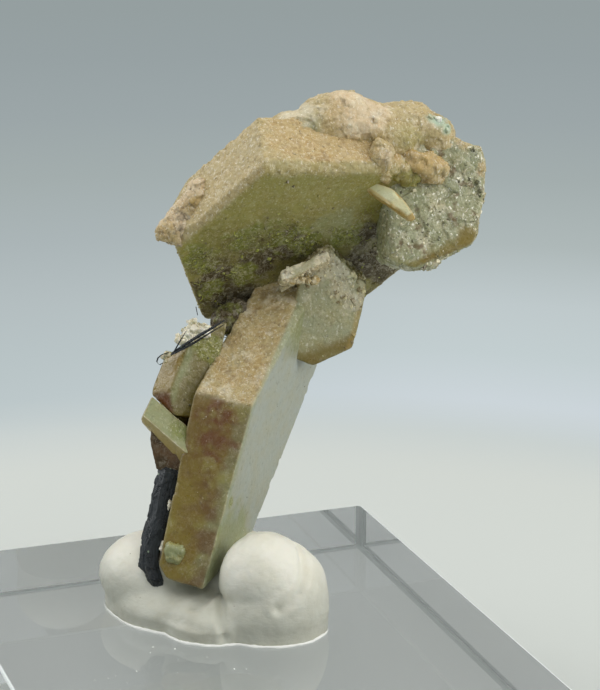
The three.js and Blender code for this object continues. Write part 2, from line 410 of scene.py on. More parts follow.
def stickGroup():  # many-sided stick along a line, grooved lengthwise, notched and pitted
    group, net, entry = newGroup("stick", {
        "Vector": ["Across", "Toward"], "Int": ["Rings", "Sides", "Seed"], "Material": ["Material"],
        "Float": ["Corners", "Grooves", "Groove Count", "Notches", "Notch Count", "Pits", "Broken"]})
    tube = net.add("GeometryNodeMeshCylinder", {"fill_type": "TRIANGLE_FAN"}, {
        "Vertices": entry.out("Sides"), "Side Segments": entry.out("Rings"), "Fill Segments": 4,
        "Radius": 1.0, "Depth": 1.0})
    line = net.add("GeometryNodeMeshToCurve", None, {"Mesh": entry})
    spot = net.parted(net.add("GeometryNodeInputPosition"))
    x, y, along = spot, spot.out("Y"), spot.out("Z") + 0.5

    def sampled(name):
        sockets = {"Curves": line, "Value": net.named(name), "Factor": along}
        return net.add("GeometryNodeSampleCurve", {"mode": "FACTOR"}, sockets)

    wide, deep = sampled("wide"), sampled("deep")
    angle = net.maths("ARCTAN2", y, x)
    part = 2 * math.pi / entry.out("Corners")
    turn = net.maths("FLOORED_MODULO", angle + math.pi, part) - part * 0.5
    polygon = net.maths("COSINE", part * 0.5) / net.maths("COSINE", turn)
    shift = entry.out("Seed") * 7.3
    round1, round2 = net.maths("COSINE", angle), net.maths("SINE", angle)
    count, notchCount = entry.out("Groove Count"), entry.out("Notch Count")
    grooves = net.noise(net.joined(round1 * count, round2 * count, along * 1.5 + shift), 1.0, 3, 0.6) - 0.5
    wear = net.noise(net.joined(round1 * 0.7 + shift, round2 * 0.7, along * notchCount), 1.0, 2, 0.5)
    steps = net.maths("FLOOR", wear * 9) / 9 + (wear - 0.5) * 0.3 - 0.5
    pits = net.cells(net.joined(round1 * 2.2 + shift, round2 * 2.2, along * notchCount * 2.2), 1.0)
    skin = 1 + grooves * entry.out("Grooves") + steps * entry.out("Notches")
    reach = polygon * (skin - pits.between(0.4, 0.1) * entry.out("Pits"))
    ends = net.maths("ABSOLUTE", spot.out("Z")) > 0.499
    crumbled = net.noise(net.joined(x * 1.6 + shift, y * 1.6, along), 1.0, 3, 0.6) - 0.5
    moves = [
        (entry.out("Across"), x * reach * wide * 0.5), (entry.out("Toward"), y * reach * deep * 0.5),
        (wide.out("Tangent"), crumbled * ends * entry.out("Broken"))]
    place = wide.out("Position")
    for direction, length in moves:
        place = net.vector("ADD", place, net.scaled(direction, length))
    shaped = net.add("GeometryNodeSetPosition", None, {"Geometry": tube, "Position": place})
    closeGroup(net, shaped, entry.out("Material"))
    return group


growGroups = {"grains": grainGroup(), "fibres": fibreGroup()}

# Camera at the photograph's place
cameraFacts = {
    "place": (-40.3446, -124.3313, 64.1155),
    "heading": (0.34248, 0.93952),
    "dip": 15.837,  # degrees below level
    "focal": 2271.13, "frameHeight": 690,  # pixels
    "sensor": 36.0,
}


def makeCamera(facts):
    dip = math.radians(facts["dip"])
    hx, hy = facts["heading"]
    forward = Vector((hx * math.cos(dip), hy * math.cos(dip), -math.sin(dip)))
    right = Vector((hy, -hx, 0))
    up = right.cross(forward)
    data = bpy.data.cameras.new("camera")
    data.sensor_width = facts["sensor"]
    data.lens = facts["focal"] * facts["sensor"] / facts["frameHeight"]
    data.clip_start, data.clip_end = 0.01, 20
    camera = bpy.data.objects.new("camera", data)
    turned = Matrix((right, up, -forward)).transposed().to_4x4()
    camera.matrix_world = Matrix.Translation(Vector(facts["place"]) * mm) @ turned
    scene.collection.objects.link(camera)
    scene.camera = camera


makeCamera(cameraFacts)

# Floor, sky and soft lights; the floor's colour changes with the distance, and differs at the left and right
farStart = [(0.0, (208, 212, 209)), (0.19, (200, 208, 207))]
farEnd = [(0.51, (163, 173, 173)), (0.64, (156, 166, 168)), (0.82, (151, 161, 163)), (1.0, (149, 159, 160))]
stageFacts = {
    # painted light: the paper under the block is lighter and glows (underGlow), standing in for the light
    # that comes down through the block
    "floorSize": 4000, "floorDrop": 0.02, "nearFloor": (205, 209, 204), "litUnderBlock": (244, 247, 244),
    "blockMiddle": -2, "underHalves": (15.1, 17.1),  # the block's half sizes and a little more
    "farLeft": [
        *farStart, (0.22, (188, 199, 201)), (0.265, (184, 195, 197)), (0.32, (180, 190, 192)),
        (0.40, (171, 181, 183)), *farEnd],
    "farRight": [
        *farStart, (0.22, (204, 213, 218)), (0.265, (195, 206, 208)), (0.32, (191, 201, 203)),
        (0.40, (174, 184, 184)), *farEnd],
    "farReach": 360, "blend": (56, 74), "acrossView": (0.93952, -0.34248, 0), "halfWidth": 26,
    "sky": [(0.0, (149, 158, 160)), (0.35, (176, 184, 188)), (0.75, (232, 235, 236)), (1.0, (250, 250, 248))],
    "skyStrength": 0.42, "frontGlow": 0.42, "frontWay": (-0.1, -0.97, 0.2), "underGlow": 0.14,
    "lights": [  # name, place, size, watts, colour
        ("top", (0, 0, 230), 200, 0.15, (1.0, 0.99, 0.97)),
        ("topBack", (70, 120, 190), 150, 0.055, (1.0, 0.99, 0.97)),
        ("right", (190, -110, 110), 130, 0.225, (1.0, 0.99, 0.97)),
        ("frontRight", (90, -170, 170), 120, 0.085, (1.0, 0.99, 0.98)),
        ("left", (-200, 10, 120), 130, 0.065, (0.98, 0.99, 1.0)),
        ("leftBack", (-140, 150, 130), 130, 0.18, (0.98, 0.99, 1.0)),
    ],
    "lookAt": (5, 2, 24),
}


def makeStage(facts):
    half = facts["floorSize"] / 2
    corners = [(-half, -half), (half, -half), (half, half), (-half, half)]
    mesh = meshFrom("floor", [(x * mm, y * mm, -facts["floorDrop"] * mm) for x, y in corners], [(0, 1, 2, 3)])
    floor = bpy.data.objects.new("floor", mesh)
    scene.collection.objects.link(floor)
    material = bpy.data.materials.new("floorPaper")
    material.use_nodes = True
    material.node_tree.nodes.clear()
    net = Net(material.node_tree)
    place = net.add("ShaderNodeTexCoord").out("Object")
    flat = net.vector("MULTIPLY", place, (1, 1, 0))
    radius = net.vector("LENGTH", flat, out="Value") * (1 / mm)
    left, right = [net.add("ShaderNodeValToRGB", {"stops": facts[side]}, {"Fac": radius / facts["farReach"]})
                   for side in ("farLeft", "farRight")]
    sideways = net.vector("DOT_PRODUCT", place, facts["acrossView"], "Value")
    width = facts["halfWidth"] * mm
    far = net.mix(sideways.between(-width, width), left, right)
    middle = net.vector("SUBTRACT", place, (0, facts["blockMiddle"] * mm, 0))
    across = net.parted(net.vector("ABSOLUTE", middle))
    halfWide, halfLong = [half * mm for half in facts["underHalves"]]
    under = net.maths("LESS_THAN", across, halfWide) * net.maths("LESS_THAN", across.out("Y"), halfLong)
    # painted light: lighter paper and a glow under the block, where no lamp is, for the light that passes
    # through the block
    near = net.mix(under, facts["nearFloor"], facts["litUnderBlock"])
    paper = net.add("ShaderNodeBsdfDiffuse", None, {"Color": near})
    lit = net.add("ShaderNodeEmission", None, {"Color": (1, 1, 1, 1), "Strength": under * facts["underGlow"]})
    paper = net.add("ShaderNodeAddShader", None, {0: paper, 1: lit})
    glow = net.add("ShaderNodeEmission", None, {"Color": far, "Strength": 1.0})
    mixed = net.add("ShaderNodeMixShader", None, {0: radius.between(*facts["blend"]), 1: paper, 2: glow})
    net.add("ShaderNodeOutputMaterial", None, {"Surface": mixed})
    mesh.materials.append(material)

    world = bpy.data.worlds.new("sky")
    world.use_nodes = True
    scene.world = world
    net = Net(world.node_tree)
    way = net.add("ShaderNodeTexCoord").out("Generated")
    height = net.parted(way, "Z")
    colour = net.add("ShaderNodeValToRGB", {"stops": facts["sky"]}, {"Fac": height})
    background = world.node_tree.nodes["Background"]
    feed(net, colour, background.inputs["Color"])
    front = net.vector("DOT_PRODUCT", way, facts["frontWay"], "Value")
    strength = front.between(0.3, 1.0) * facts["frontGlow"] + facts["skyStrength"]
    feed(net, strength, background.inputs["Strength"])

    target = Vector(facts["lookAt"]) * mm
    for name, place, size, watts, colour in facts["lights"]:
        data = bpy.data.lights.new(name, "AREA")
        data.size, data.energy, data.color = size * mm, watts, colour
        light = bpy.data.objects.new(name, data)
        light.location = Vector(place) * mm
        light.visible_transmission = False  # no sharp picture of the lamp inside the block
        light.rotation_euler = (light.location - target).to_track_quat("Z", "Y").to_euler()
        scene.collection.objects.link(light)


makeStage(stageFacts)
print("camera and stage made")

# Tints that the crystals are washed with: colour, then sparkle (pale flecks, painted glint highlights and
# tilted grain normals), specks, roughness and relief, each 0 to 1
tints = {
    "olive": ((146, 139, 64), 0.2, 0.3, 0.45, 0.3),
    "deepOlive": ((104, 99, 44), 0.2, 0.3, 0.45, 0.3),
    "yellowOlive": ((126, 108, 30), 0.05, 0.3, 0.3, 0.12),
    "greyGreen": ((142, 147, 106), 0.3, 0.15, 0.5, 0.3),
    "paleGrey": ((160, 165, 152), 0.04, 0.05, 0.42, 0.08),
    "paleGreen": ((140, 146, 102), 0.1, 0.08, 0.42, 0.12),
    "earGreen": ((226, 226, 186), 0.1, 0.05, 0.4, 0.1),
    "moss": ((124, 130, 40), 0.3, 0.5, 0.7, 0.7),
    "dark": ((62, 46, 6), 0.12, 0.5, 0.7, 0.7),
    "brown": ((98, 66, 20), 0.05, 0.35, 0.35, 0.15),
    "redBrown": ((100, 52, 12), 0.05, 0.3, 0.3, 0.12),
    "honey": ((188, 158, 86), 0.05, 0.1, 0.3, 0.12),
    "tan": ((184, 166, 118), 0.5, 0.25, 0.62, 0.75),
    "orangeTan": ((184, 160, 108), 0.45, 0.25, 0.6, 0.7),
    "sand": ((252, 240, 206), 0.9, 0.15, 0.6, 0.8),
    "peach": ((212, 192, 158), 0.5, 0.12, 0.6, 0.6),
    "pale": ((228, 220, 196), 0.8, 0.08, 0.6, 0.8),
    "white": ((248, 244, 230), 0.9, 0.0, 0.5, 0.8),
    "druse": ((158, 160, 124), 1.0, 0.7, 0.35, 0.6),
    "teal": ((176, 198, 176), 0.5, 0.0, 0.5, 0.5),
}


def maskOf(points, faces, limits, seed):  # how far a wash or a growth covers each point, 0 to 1
    mask = np.full(len(points), float(limits["strength"]))
    if limits["on"]:
        mask *= faces["share"][:, limits["on"]].sum(1)
    for face, width in limits.get("near", []):
        ragged = width * (1 + 0.35 * fractal(points, 1.1, seed + 3))
        mask *= softStep(faces["inside"][:, face], -ragged, -0.45 * ragged)
    if "edges" in limits:
        mask *= softStep(faces["second"], -limits["edges"], -0.3 * limits["edges"])
    if "spots" in limits:
        reach = [1 - np.linalg.norm(points - np.array(s[:3]), axis=1) / s[3] for s in limits["spots"]]
        ragged = limits.get("ragged", 0.35) * fractal(points, limits.get("size", 1.0), seed)
        mask *= softStep(np.max(reach, axis=0) + ragged, 0.05, limits.get("soft", 0.45))
    if "patches" in limits:
        size, low, high = limits["patches"]
        mask *= softStep(fractal(points, size, seed + 7, 4), low, high)
    return mask


def washed(points, faces, spec, seed):  # colour and finish of each point, from a crystal's list of washes
    def values(name):
        colour, *finish = tints[name]
        return np.concatenate([linear(colour), finish])

    now = np.tile(values(spec["tint"]), (len(points), 1))
    for k, layer in enumerate(spec.get("washes", [])):
        mask = maskOf(points, faces, layer, seed + 101 * (k + 1))
        now += (values(layer["tint"]) - now) * mask[:, None]
    return now


# The mesh of a crystal or a lump with its colours, and how thickly each of its growths stands
def finished(name, verts, quads, flat, faces, paint, spec, seed):
    mesh = meshFrom(name, verts * mm, quads)
    colourLayer(mesh, "paint", np.c_[paint[:, :3], np.ones(len(paint))])
    colourLayer(mesh, "finish", paint[:, 3:7])
    for k, (growth, facts) in enumerate(spec.get("growth", {}).items()):
        first = seed + 5003 * (k + 1)
        masks = [maskOf(flat, faces, part, first + 17 * j) for j, part in enumerate(facts["where"])]
        layer = mesh.attributes.new(growth, "FLOAT", "POINT")
        layer.data.foreach_set("value", np.max(masks, axis=0).astype(np.float32))
    return mesh


def planesOf(spec):
    along = unit(spec["axis"])
    up = unit(np.array([0, 0, 1]) - along * along[2])
    across = np.cross(along, up)
    normals, distances = [along, -along], [0, spec["depth"]]
    for turn, lean, distance in [(t, 0, d) for t, d in spec["sides"]] + spec.get("cuts", []):
        a, b = math.radians(turn), math.radians(lean)
        normals.append(math.cos(b) * (math.cos(a) * up + math.sin(a) * across) + math.sin(b) * along)
        distances.append(distance)
    normals = np.array(normals)
    return normals, np.array(distances) + normals @ np.array(spec["at"], float)


def cornersOf(normals, distances):
    corners = []
    for i in range(len(normals)):
        for j in range(i):
            for k in range(j):
                three = normals[[i, j, k]]
                if abs(np.linalg.det(three)) > 1e-4:
                    corner = np.linalg.solve(three, distances[[i, j, k]])
                    if (normals @ corner < distances + 1e-6).all():
                        corners.append(corner)
    return corners


def roundedCrystal(normals, distances, rounding):
    def field(points):
        inside = points @ normals.T - distances
        most = inside.max(1)
        return most + rounding * np.log(np.exp((inside - most[:, None]) / rounding).sum(1))
    return field


skinFacts = {
    "faceBlend": 0.05, "rough": 0.05, "roughSize": 0.5, "waves": 0.02, "waveSize": 2.4,
    "chipReach": 0.35, "chipSize": 0.7,
}


def makeCrystal(name, spec, seed, skin=skinFacts):
    normals, distances = planesOf(spec)
    verts, quads = evenMesh(name, [hull(cornersOf(normals, distances))], spec["voxel"])
    field = roundedCrystal(normals, distances, spec.get("rounding", 0.045))
    verts, outward = settle(verts, field)
    inside = verts @ normals.T - distances
    share = np.exp((inside - inside.max(1)[:, None]) / skin["faceBlend"])
    share /= share.sum(1)[:, None]
    faces = {"inside": inside, "share": share, "second": np.sort(inside, axis=1)[:, -2]}
    paint = washed(verts, faces, spec, seed)
    relief = paint[:, 6]
    facets = cellNoise(verts, spec.get("facetSize", 0.34), seed + 2)
    rough = skin["rough"] * fractal(verts, skin["roughSize"], seed + 1) + spec.get("facets", 0.1) * facets
    waves = skin["waves"] * smoothNoise(verts, skin["waveSize"], seed + 3)
    chips = softStep(fractal(verts, skin["chipSize"], seed + 4), 0.05, 0.5)
    chips *= softStep(faces["second"], -skin["chipReach"], 0.0)  # only along the edges
    lift = relief * rough + waves - spec.get("chips", 0.1) * chips
    return finished(name, verts + outward * lift[:, None], quads, verts, faces, paint, spec, seed)


# Mineral surface: painted tints with mottling, grains, painted glint highlights and specks in the shader
def mineralMaterial(name, bulk):
    constants = {
        "Subsurface Weight": bulk["glow"], "Subsurface Radius": (1.0, 0.75, 0.4),
        "Subsurface Scale": bulk["glowDepth"] * mm, "IOR": 1.59, "Specular IOR Level": bulk["shine"],
    }
    material, net, p, sockets = newMaterial(name, constants)
    paint, finish = net.painted("paint"), net.painted("finish")
    parts = net.channels(finish)
    sparkle, specks, rough = parts, parts.out("Green"), parts.out("Blue")
    relief = finish.out("Alpha")
    cloud = net.noise(p, 0.9, 5, 0.62)
    mottle = net.noise(net.vector("ADD", p, (31, 7, 2)), 3.2, 4, 0.65)
    colour = net.mix(cloud.between(0.3, 0.75) * 0.5, paint, (255, 236, 190), "MULTIPLY")
    colour = net.mix(mottle.between(0.55, 0.8) * 0.55, colour, (150, 130, 96), "MULTIPLY")
    colour = net.mix(mottle.between(0.45, 0.2) * sparkle * 0.35, colour, (226, 216, 188))
    grain = net.cells(p, bulk["grainScale"])
    grainTone = net.channels(grain.out("Color"))
    colour = net.mix(grainTone.between(0.5, 1.0) * relief * 0.3, colour, (150, 122, 80), "MULTIPLY")
    colour = net.mix(grainTone.out("Green").between(0.55, 1.0) * relief * 0.25, colour, (236, 226, 200))
    wander = net.noise(net.vector("ADD", p, (3, 17, 9)), bulk["threadScale"], 3, 0.6)
    thread = net.maths("ABSOLUTE", wander - 0.5).between(0.035, 0.0) * cloud.between(0.35, 0.6)
    colour = net.mix(thread * relief * 0.5, colour, (244, 236, 208))
    # painted highlight: glints are pale spots in the colour, where the roughness is also lower
    glint = net.noise(net.vector("MULTIPLY", p, (1.0, 1.0, 0.6)), bulk["glintScale"], 2, 0.5)
    paintedGlint = glint.between(0.6, 0.66) * mottle.between(0.35, 0.5) * sparkle
    colour = net.mix(paintedGlint * 0.8, colour, (252, 248, 230))
    fleck = net.noise(net.vector("ADD", p, (5, 11, 3)), bulk["speckScale"], 3, 0.6)
    colour = net.mix(fleck.between(0.6, 0.7) * specks * 0.8, colour, (62, 52, 26))
    feed(net, colour, sockets["Base Color"])
    feed(net, rough - paintedGlint * 0.35 + (mottle - 0.5) * 0.25, sockets["Roughness"])
    tilt = net.scaled(net.vector("SUBTRACT", grain.out("Color"), (0.5, 0.5, 0.5)), sparkle * 0.5)
    normal = net.add("ShaderNodeNewGeometry").out("Normal")
    tilted = net.vector("NORMALIZE", net.vector("ADD", normal, tilt))
    height = (1 - grain) * relief + net.noise(p, 9.0, 4, 0.6) * (0.35 + 0.4 * relief) + cloud * 0.5
    feed(net, net.bump(height, 0.8, Normal=tilted), sockets["Normal"])
    return material


mineral = mineralMaterial("catapleiite", {
    "glow": 0.14, "glowDepth": 0.4, "shine": 0.5, "grainScale": 4.5, "threadScale": 3.0, "glintScale": 7.0,
    "speckScale": 4.0,
})


# A wash is a tint on an area. An area is given by the faces it is on, how strongly it counts, and what
# narrows it down: nearness to faces, edges, spots (place and reach) or patches (size and two thresholds).
def area(on=(), strength=1, **more):
    return {"on": on, "strength": strength, **more}


def wash(tint, *where, **more):
    return {"tint": tint, **area(*where, **more)}


# What grows on the areas: a kind of growth, its sizes, and its lightest and darkest colour
def growthOf(kind, where, values, light=(248, 240, 214), dark=(104, 84, 50)):
    colours = {"Light": (*linear(light), 1), "Dark": (*linear(dark), 1)}
    return {"kind": kind, "where": where, "values": {**values, **colours}}


def grains(where, spacing, smallest, largest, sink, shade, *colours):
    lengths = {"Spacing": spacing * mm, "Smallest": smallest * mm, "Largest": largest * mm}
    return growthOf("grains", where, {**lengths, "Sink": sink, "Shade": shade}, *colours)


def fibres(where, spacing, length, thickness, lift, shade, *colours):
    lengths = {"Spacing": spacing * mm, "Length": length * mm, "Lift": lift * mm}
    return growthOf("fibres", where, {**lengths, "Thickness": thickness, "Shade": shade}, *colours)


crystals = {
    "upper_plate": {
        "at": (7.5, 4.6, 31.9), "axis": (0.02, -0.825, -0.565), "depth": 4.2,
        "sides": [(-6.4, 6.4), (-66.4, 6.9), (-126.4, 7.7), (173.6, 7.3), (113.6, 8.1)],
        "cuts": [(53.6, -10, 7.7), (53.6, 45, 5.2), (-6.4, 45, 4.2), (95, -50, 7.8)], "voxel": 0.093,
        "tint": "olive",
        "washes": [
            wash("tan", [1, 2, 4, 5, 6, 7, 8]),
            wash("sand", [3]),
            wash("orangeTan", [2], spots=[(8, 2.9, 38.5, 3.6), (6.2, 3.4, 39.1, 3), (10.4, 2.4, 37.8, 2.6)]),
            wash("brown", [2], 0.4, spots=[(8, 2.6, 38.4, 3)], patches=(0.8, 0.1, 0.5)),
            wash("tan", [3], 0.15, patches=(1.3, 0.1, 0.6)),
            wash("brown", [3], 0.25, patches=(0.5, 0.3, 0.7)),
            wash("white", [3], 0.7, near=[(0, 0.8)], patches=(0.6, -0.1, 0.4)),
            wash("greyGreen", [0], 0.5, spots=[(8.7, 4, 32.9, 1.9)]),
            wash("deepOlive", [0], 0.8, spots=[(4, 5.4, 30.4, 6.5), (11.6, 5.5, 30.4, 4.5)], soft=0.9),
            wash(
                "dark", [0], 0.9,
                spots=[(1.9, 6.2, 29.4, 2.9), (3.3, 7.4, 27.7, 3.2), (4, 5.4, 30.6, 2.0),
                    (6.7, 4.8, 31.4, 2.1), (11.6, 6.5, 29.4, 3.6), (11.2, 4.5, 31.8, 1.5)], ragged=0.7,
                soft=0.6),
            wash(
                "moss", [0], 0.75,
                spots=[(0.2, 4.9, 31.2, 1.6), (2.9, 4.2, 32.2, 1.5), (5.2, 4.2, 32.4, 1.6),
                    (7.2, 4.6, 31.4, 1.3), (9.8, 4.4, 32.0, 1.3), (3.4, 5.9, 29.8, 1.1),
                    (1.4, 6.6, 28.9, 0.9)], ragged=0.9, size=0.7, soft=0.4),
            wash("deepOlive", [0], 0.45, spots=[(1.0, 5.0, 31.5, 2.2), (4.2, 4.4, 32.6, 2.0)], soft=0.8),
            wash("olive", [0], 0.5, near=[(2, 2.4)]),
            wash("tan", [0], 0.6, near=[(3, 0.65)]),
            wash("tan", [0, 9], 0.6, near=[(2, 1.0)]),
            wash("honey", [0, 9], 0.75, near=[(2, 1.1), (3, 0.6)]),
            wash("olive", [4, 5, 6], 0.6),
            wash("pale", [3], 0.4, edges=0.16)],
        "growth": {
            "rim_crust": grains([
                area([2, 3, 7, 8], 0.8, patches=(1.2, -0.35, 0.4)), area([4, 5, 6], 0.4)],
                0.14, 0.05, 0.2, 0.25, 0.45),
            "moss_fibres": fibres([
                area(
                    [0], 0.6,
                    spots=[(0.2, 4.9, 31.2, 1.6), (2.9, 4.2, 32.2, 1.4), (5.2, 4.2, 32.4, 1.5),
                        (7.2, 4.6, 31.4, 1.4), (9.8, 4.4, 32.0, 1.4), (1.5, 6.2, 29, 2.2),
                        (10.9, 3.6, 33.6, 1.2)], ragged=0.8),
                area(
                    [0], 0.2, spots=[(6, 5.5, 30.5, 5.5), (11, 5.5, 31, 3.5)], patches=(1.5, 0.0, 0.5),
                    ragged=0.5)],
                0.14, 0.42, 0.05, 0.02, 0.9, (176, 182, 62), (92, 76, 10)),
            "moss_grains": grains([
                area(
                    [0], 0.25, spots=[(1.9, 6.2, 29.8, 3.6), (5.5, 5.0, 31.0, 3.2), (11.4, 5.6, 30.6, 3.4)],
                    ragged=0.6),
                area([0], 0.03),
                area(
                    [0], 0.9,
                    spots=[(0.2, 4.9, 31.2, 1.5), (2.9, 4.2, 32.2, 1.4), (5.2, 4.2, 32.4, 1.5),
                        (7.2, 4.6, 31.4, 1.2), (9.8, 4.4, 32.0, 1.2)], ragged=0.9)],
                0.14, 0.05, 0.26, 0.2, 0.85, (172, 178, 74), (70, 54, 6))},
    },
    "long_plate": {
        "at": (4.4, 3.1, 21.0), "axis": (0.744, -0.654, -0.137), "depth": 4.0,
        "sides": [(35.2, 4.15), (66.8, 4.75), (-175, 7.6), (-133, 4.0), (-121, 5.2)],
        "cuts": [
            (-54.8, 15.7, 6.8), (-54.8, -88, 3.75), (156.8, -86.3, 3.85), (156.8, -6.8, 11.4),
            (156.8, -42.7, 9.8), (32.4, 45, 2.85)],
        "voxel": 0.083, "tint": "paleGrey",
        "washes": [
            wash("tan", [2]),
            wash("orangeTan", [2], 0.8, patches=(1.0, -0.2, 0.35)),
            wash("brown", [2], 0.4, patches=(0.6, 0.15, 0.6)),
            wash("pale", [2], 0.6, patches=(0.7, 0.1, 0.5)),
            wash("yellowOlive", [3, 10, 11]),
            wash("greyGreen", [3], 0.7, near=[(0, 1.2)]),
            wash("brown", [3], 0.45, near=[(2, 2.8)]),
            wash(
                "redBrown", [3], 0.8,
                spots=[(-0.25, 0.6, 22.5, 1.7), (-0.5, 0.3, 21.4, 1.5), (-1.0, -0.2, 20.2, 1.0)],
                ragged=1.1, size=0.8, soft=0.9),
            wash(
                "brown", [3], 0.8,
                spots=[(-1.3, -0.4, 18.5, 2.0), (-1.1, -1.0, 16.9, 1.5), (-1.6, -1.8, 15.2, 2.0),
                    (-2.3, -2.2, 13.6, 2.2)], ragged=0.9, size=1.4, soft=0.9),
            wash("olive", [3], 0.5, patches=(0.9, 0.05, 0.6)),
            wash("moss", [0, 3], 0.8, spots=[(0.1, -0.9, 17.3, 0.6)]),
            wash("yellowOlive", [1, 8, 9]),
            wash("paleGreen", [0], 0.5, near=[(3, 0.7)]),
            wash("paleGreen", [0], 0.85, spots=[(0.3, -0.5, 13.5, 4.2), (5.9, 5, 28.0, 3.5)]),
            wash("deepOlive", [0], 0.5, spots=[(0.6, 0.4, 12.4, 2.2)]),
            wash("greyGreen", [12]),
            wash("greyGreen", [0], 0.8, spots=[(6.5, 4.6, 27.5, 3.4)]),
            wash("pale", [0], 0.25, edges=0.1),
            wash("moss", [2], 0.7, near=[(10, 1.2)], patches=(0.6, -0.3, 0.3))],
        "growth": {
            "rim_crust": grains([
                area([2], 0.9, patches=(1.2, -0.5, 0.3)), area([3], 0.3, near=[(2, 0.9)])],
                0.13, 0.05, 0.19, 0.25, 0.45),
            "basal_dust": grains([
                area([0], 0.25, patches=(2.0, -0.1, 0.4)), area([3, 10], 0.3, patches=(1.0, 0.0, 0.4))],
                0.2, 0.03, 0.11, 0.3, 0.7)},
    },
    "druse_plate": {
        "at": (15.2, 1.4, 34.2), "axis": (-0.135, -0.954, 0.267), "depth": 3.0,
        "sides": [(11, 4.4), (-22, 4.2), (-81, 3.1), (-104, 2.3), (-160, 3.0), (155, 4.6), (87, 3.9)],
        "voxel": 0.07, "tint": "druse", "rounding": 0.22, "chips": 0.15, "facets": 0.42, "facetSize": 0.85,
        "washes": [
            wash("pale", strength=0.35, patches=(0.9, 0.1, 0.4)),
            wash("greyGreen", strength=0.5, patches=(1.6, -0.1, 0.4)),
            wash("deepOlive", strength=0.6, patches=(0.5, 0.15, 0.5)),
            wash("brown", [0], 0.7, patches=(0.6, 0.25, 0.5)),
            wash("dark", [0], 0.9, spots=[(17.7, 1.3, 36.1, 0.35), (17.5, 1.2, 35.1, 0.3)]),
            wash("yellowOlive", [0], 0.8, near=[(6, 1.1)]),
            wash("yellowOlive", [0], 0.8, spots=[(16.3, 0.5, 32.3, 1.2)]),
            wash("olive", [0], 0.5, near=[(7, 0.6)]),
            wash("orangeTan", strength=0.7, spots=[(17.7, 1.3, 36.3, 0.8), (16.6, 2.0, 38.0, 0.9)]),
            wash("tan", [2, 3, 4, 5], 0.5)],
        "growth": {
            # the lightest grains are pale crystals that also serve as painted glint highlights
            "druse_grains": grains([
                area([0], 0.8, patches=(1.3, -0.3, 0.35)), area([2, 3, 4, 5, 6, 7, 8], 0.4)],
                0.13, 0.06, 0.3, 0.3, 1.0, (246, 242, 216), (84, 84, 50))},
    },
    "olive_plate": {
        "at": (8.83, 4.16, 27.05), "axis": (-0.297, -0.955, 0.007), "depth": 2.6,
        "sides": [
            (-104.3, 1.61), (-99.1, 1.67), (-45.1, 2.77), (16.9, 4.26), (44.1, 3.71), (73.5, 2.7),
            (156.2, 3.58), (-155.4, 2.43)],
        "voxel": 0.06, "tint": "greyGreen",
        "washes": [
            wash("olive", [0], 0.4, patches=(1.0, -0.2, 0.4)),
            wash("pale", [0], 0.25),
            wash("yellowOlive", [0], 0.9, near=[(9, 1.3)]),
            wash("yellowOlive", [0], 0.7, near=[(8, 0.8)]),
            wash("honey", [0], 0.5, near=[(2, 0.5)]),
            wash(
                "pale", [0], 0.6,
                spots=[(8.0, 4.9, 30.2, 1.8), (9.3, 4.2, 29.0, 1.5), (10.0, 3.8, 27.8, 1.0)], ragged=0.7),
            wash("tan", [5, 6, 7], 0.8),
            wash("deepOlive", [2, 3, 4, 8, 9])],
        "growth": {
            "top_crust": grains([
                area(
                    [0], spots=[(7.9, 4.5, 30.3, 2.0), (9.0, 4.1, 29.2, 1.5), (9.9, 3.8, 28.3, 0.9)],
                    ragged=0.6),
                area([4, 5, 6], 0.9), area([0], 0.9, near=[(4, 0.6)]), area([0], 0.8, near=[(2, 0.3)]),
                area([0], 0.8, near=[(3, 0.3)])],
                0.15, 0.06, 0.34, 0.1, 0.85, (240, 232, 190), (120, 104, 60)),
            "face_dust": grains([
                area([0], 0.4, patches=(0.9, -0.2, 0.4))],
                0.14, 0.04, 0.14, 0.2, 0.8, (214, 212, 168))},
    },
    "ear_blade": {
        "at": (10.9, 0.6, 34.7), "axis": (-0.558, -0.507, 0.658), "depth": 0.8,
        "sides": [
            (50.4, 2.31), (-4.3, 1.33), (-14.5, 1.11), (-35.1, 0.92), (-45.0, 0.98), (-138.4, 1.47),
            (153.5, 0.01)],
        "voxel": 0.04, "tint": "greyGreen", "rounding": 0.06,
        "washes": [
            wash("earGreen", [0], 0.8),
            wash("honey", [1, 2, 3, 4, 5, 6, 7, 8]),
            wash("honey", [0], 0.7, near=[(8, 0.25)]),
            wash("honey", [0], 0.5, near=[(2, 0.4)]),
            wash("pale", strength=0.3, edges=0.08)],
    },
    "ledge_slab": {
        "at": (6.65, 3.65, 30.62), "axis": (-0.3, -0.8, 0.52), "depth": 1.9,
        "sides": [(24.1, 0.25), (-71.6, 1.6), (-152.7, 0.4), (97.8, 1.63)], "voxel": 0.045, "tint": "pale",
        "rounding": 0.06, "chips": 0.1,
        "washes": [
            wash("greyGreen", strength=0.6, patches=(0.7, 0.0, 0.4)),
            wash("tan", [4, 5], 0.5)],
        "growth": {
            "ledge_grains": grains([area([3, 4, 5]), area(strength=0.25)], 0.17, 0.07, 0.34, 0.1, 0.9)},
    },
    "left_block": {
        "at": (-1.0, 3.4, 24.3), "axis": (-0.02, -0.927, 0.373), "depth": 2.6,
        "sides": [(23.4, 1.72), (-110, 1.6), (169.3, 2.54)],
        "cuts": [
            (132.9, -15, 2.44), (81.6, -15, 2.26), (61.4, -12, 1.83), (61.0, 34.7, 0.62),
            (91.6, 37.5, 1.08)],
        "voxel": 0.045, "tint": "deepOlive",
        "washes": [
            wash("yellowOlive", [0], 0.4),
            wash("greyGreen", [0], 0.6, spots=[(-1.6, 3.6, 24.6, 1.0), (-1.3, 3.8, 25.4, 0.8)], soft=0.8),
            wash("yellowOlive", [4, 5, 6, 7, 8]),
            wash("honey", [8], 0.15),
            wash("brown", [8], 0.6, patches=(0.8, 0, 0.5)),
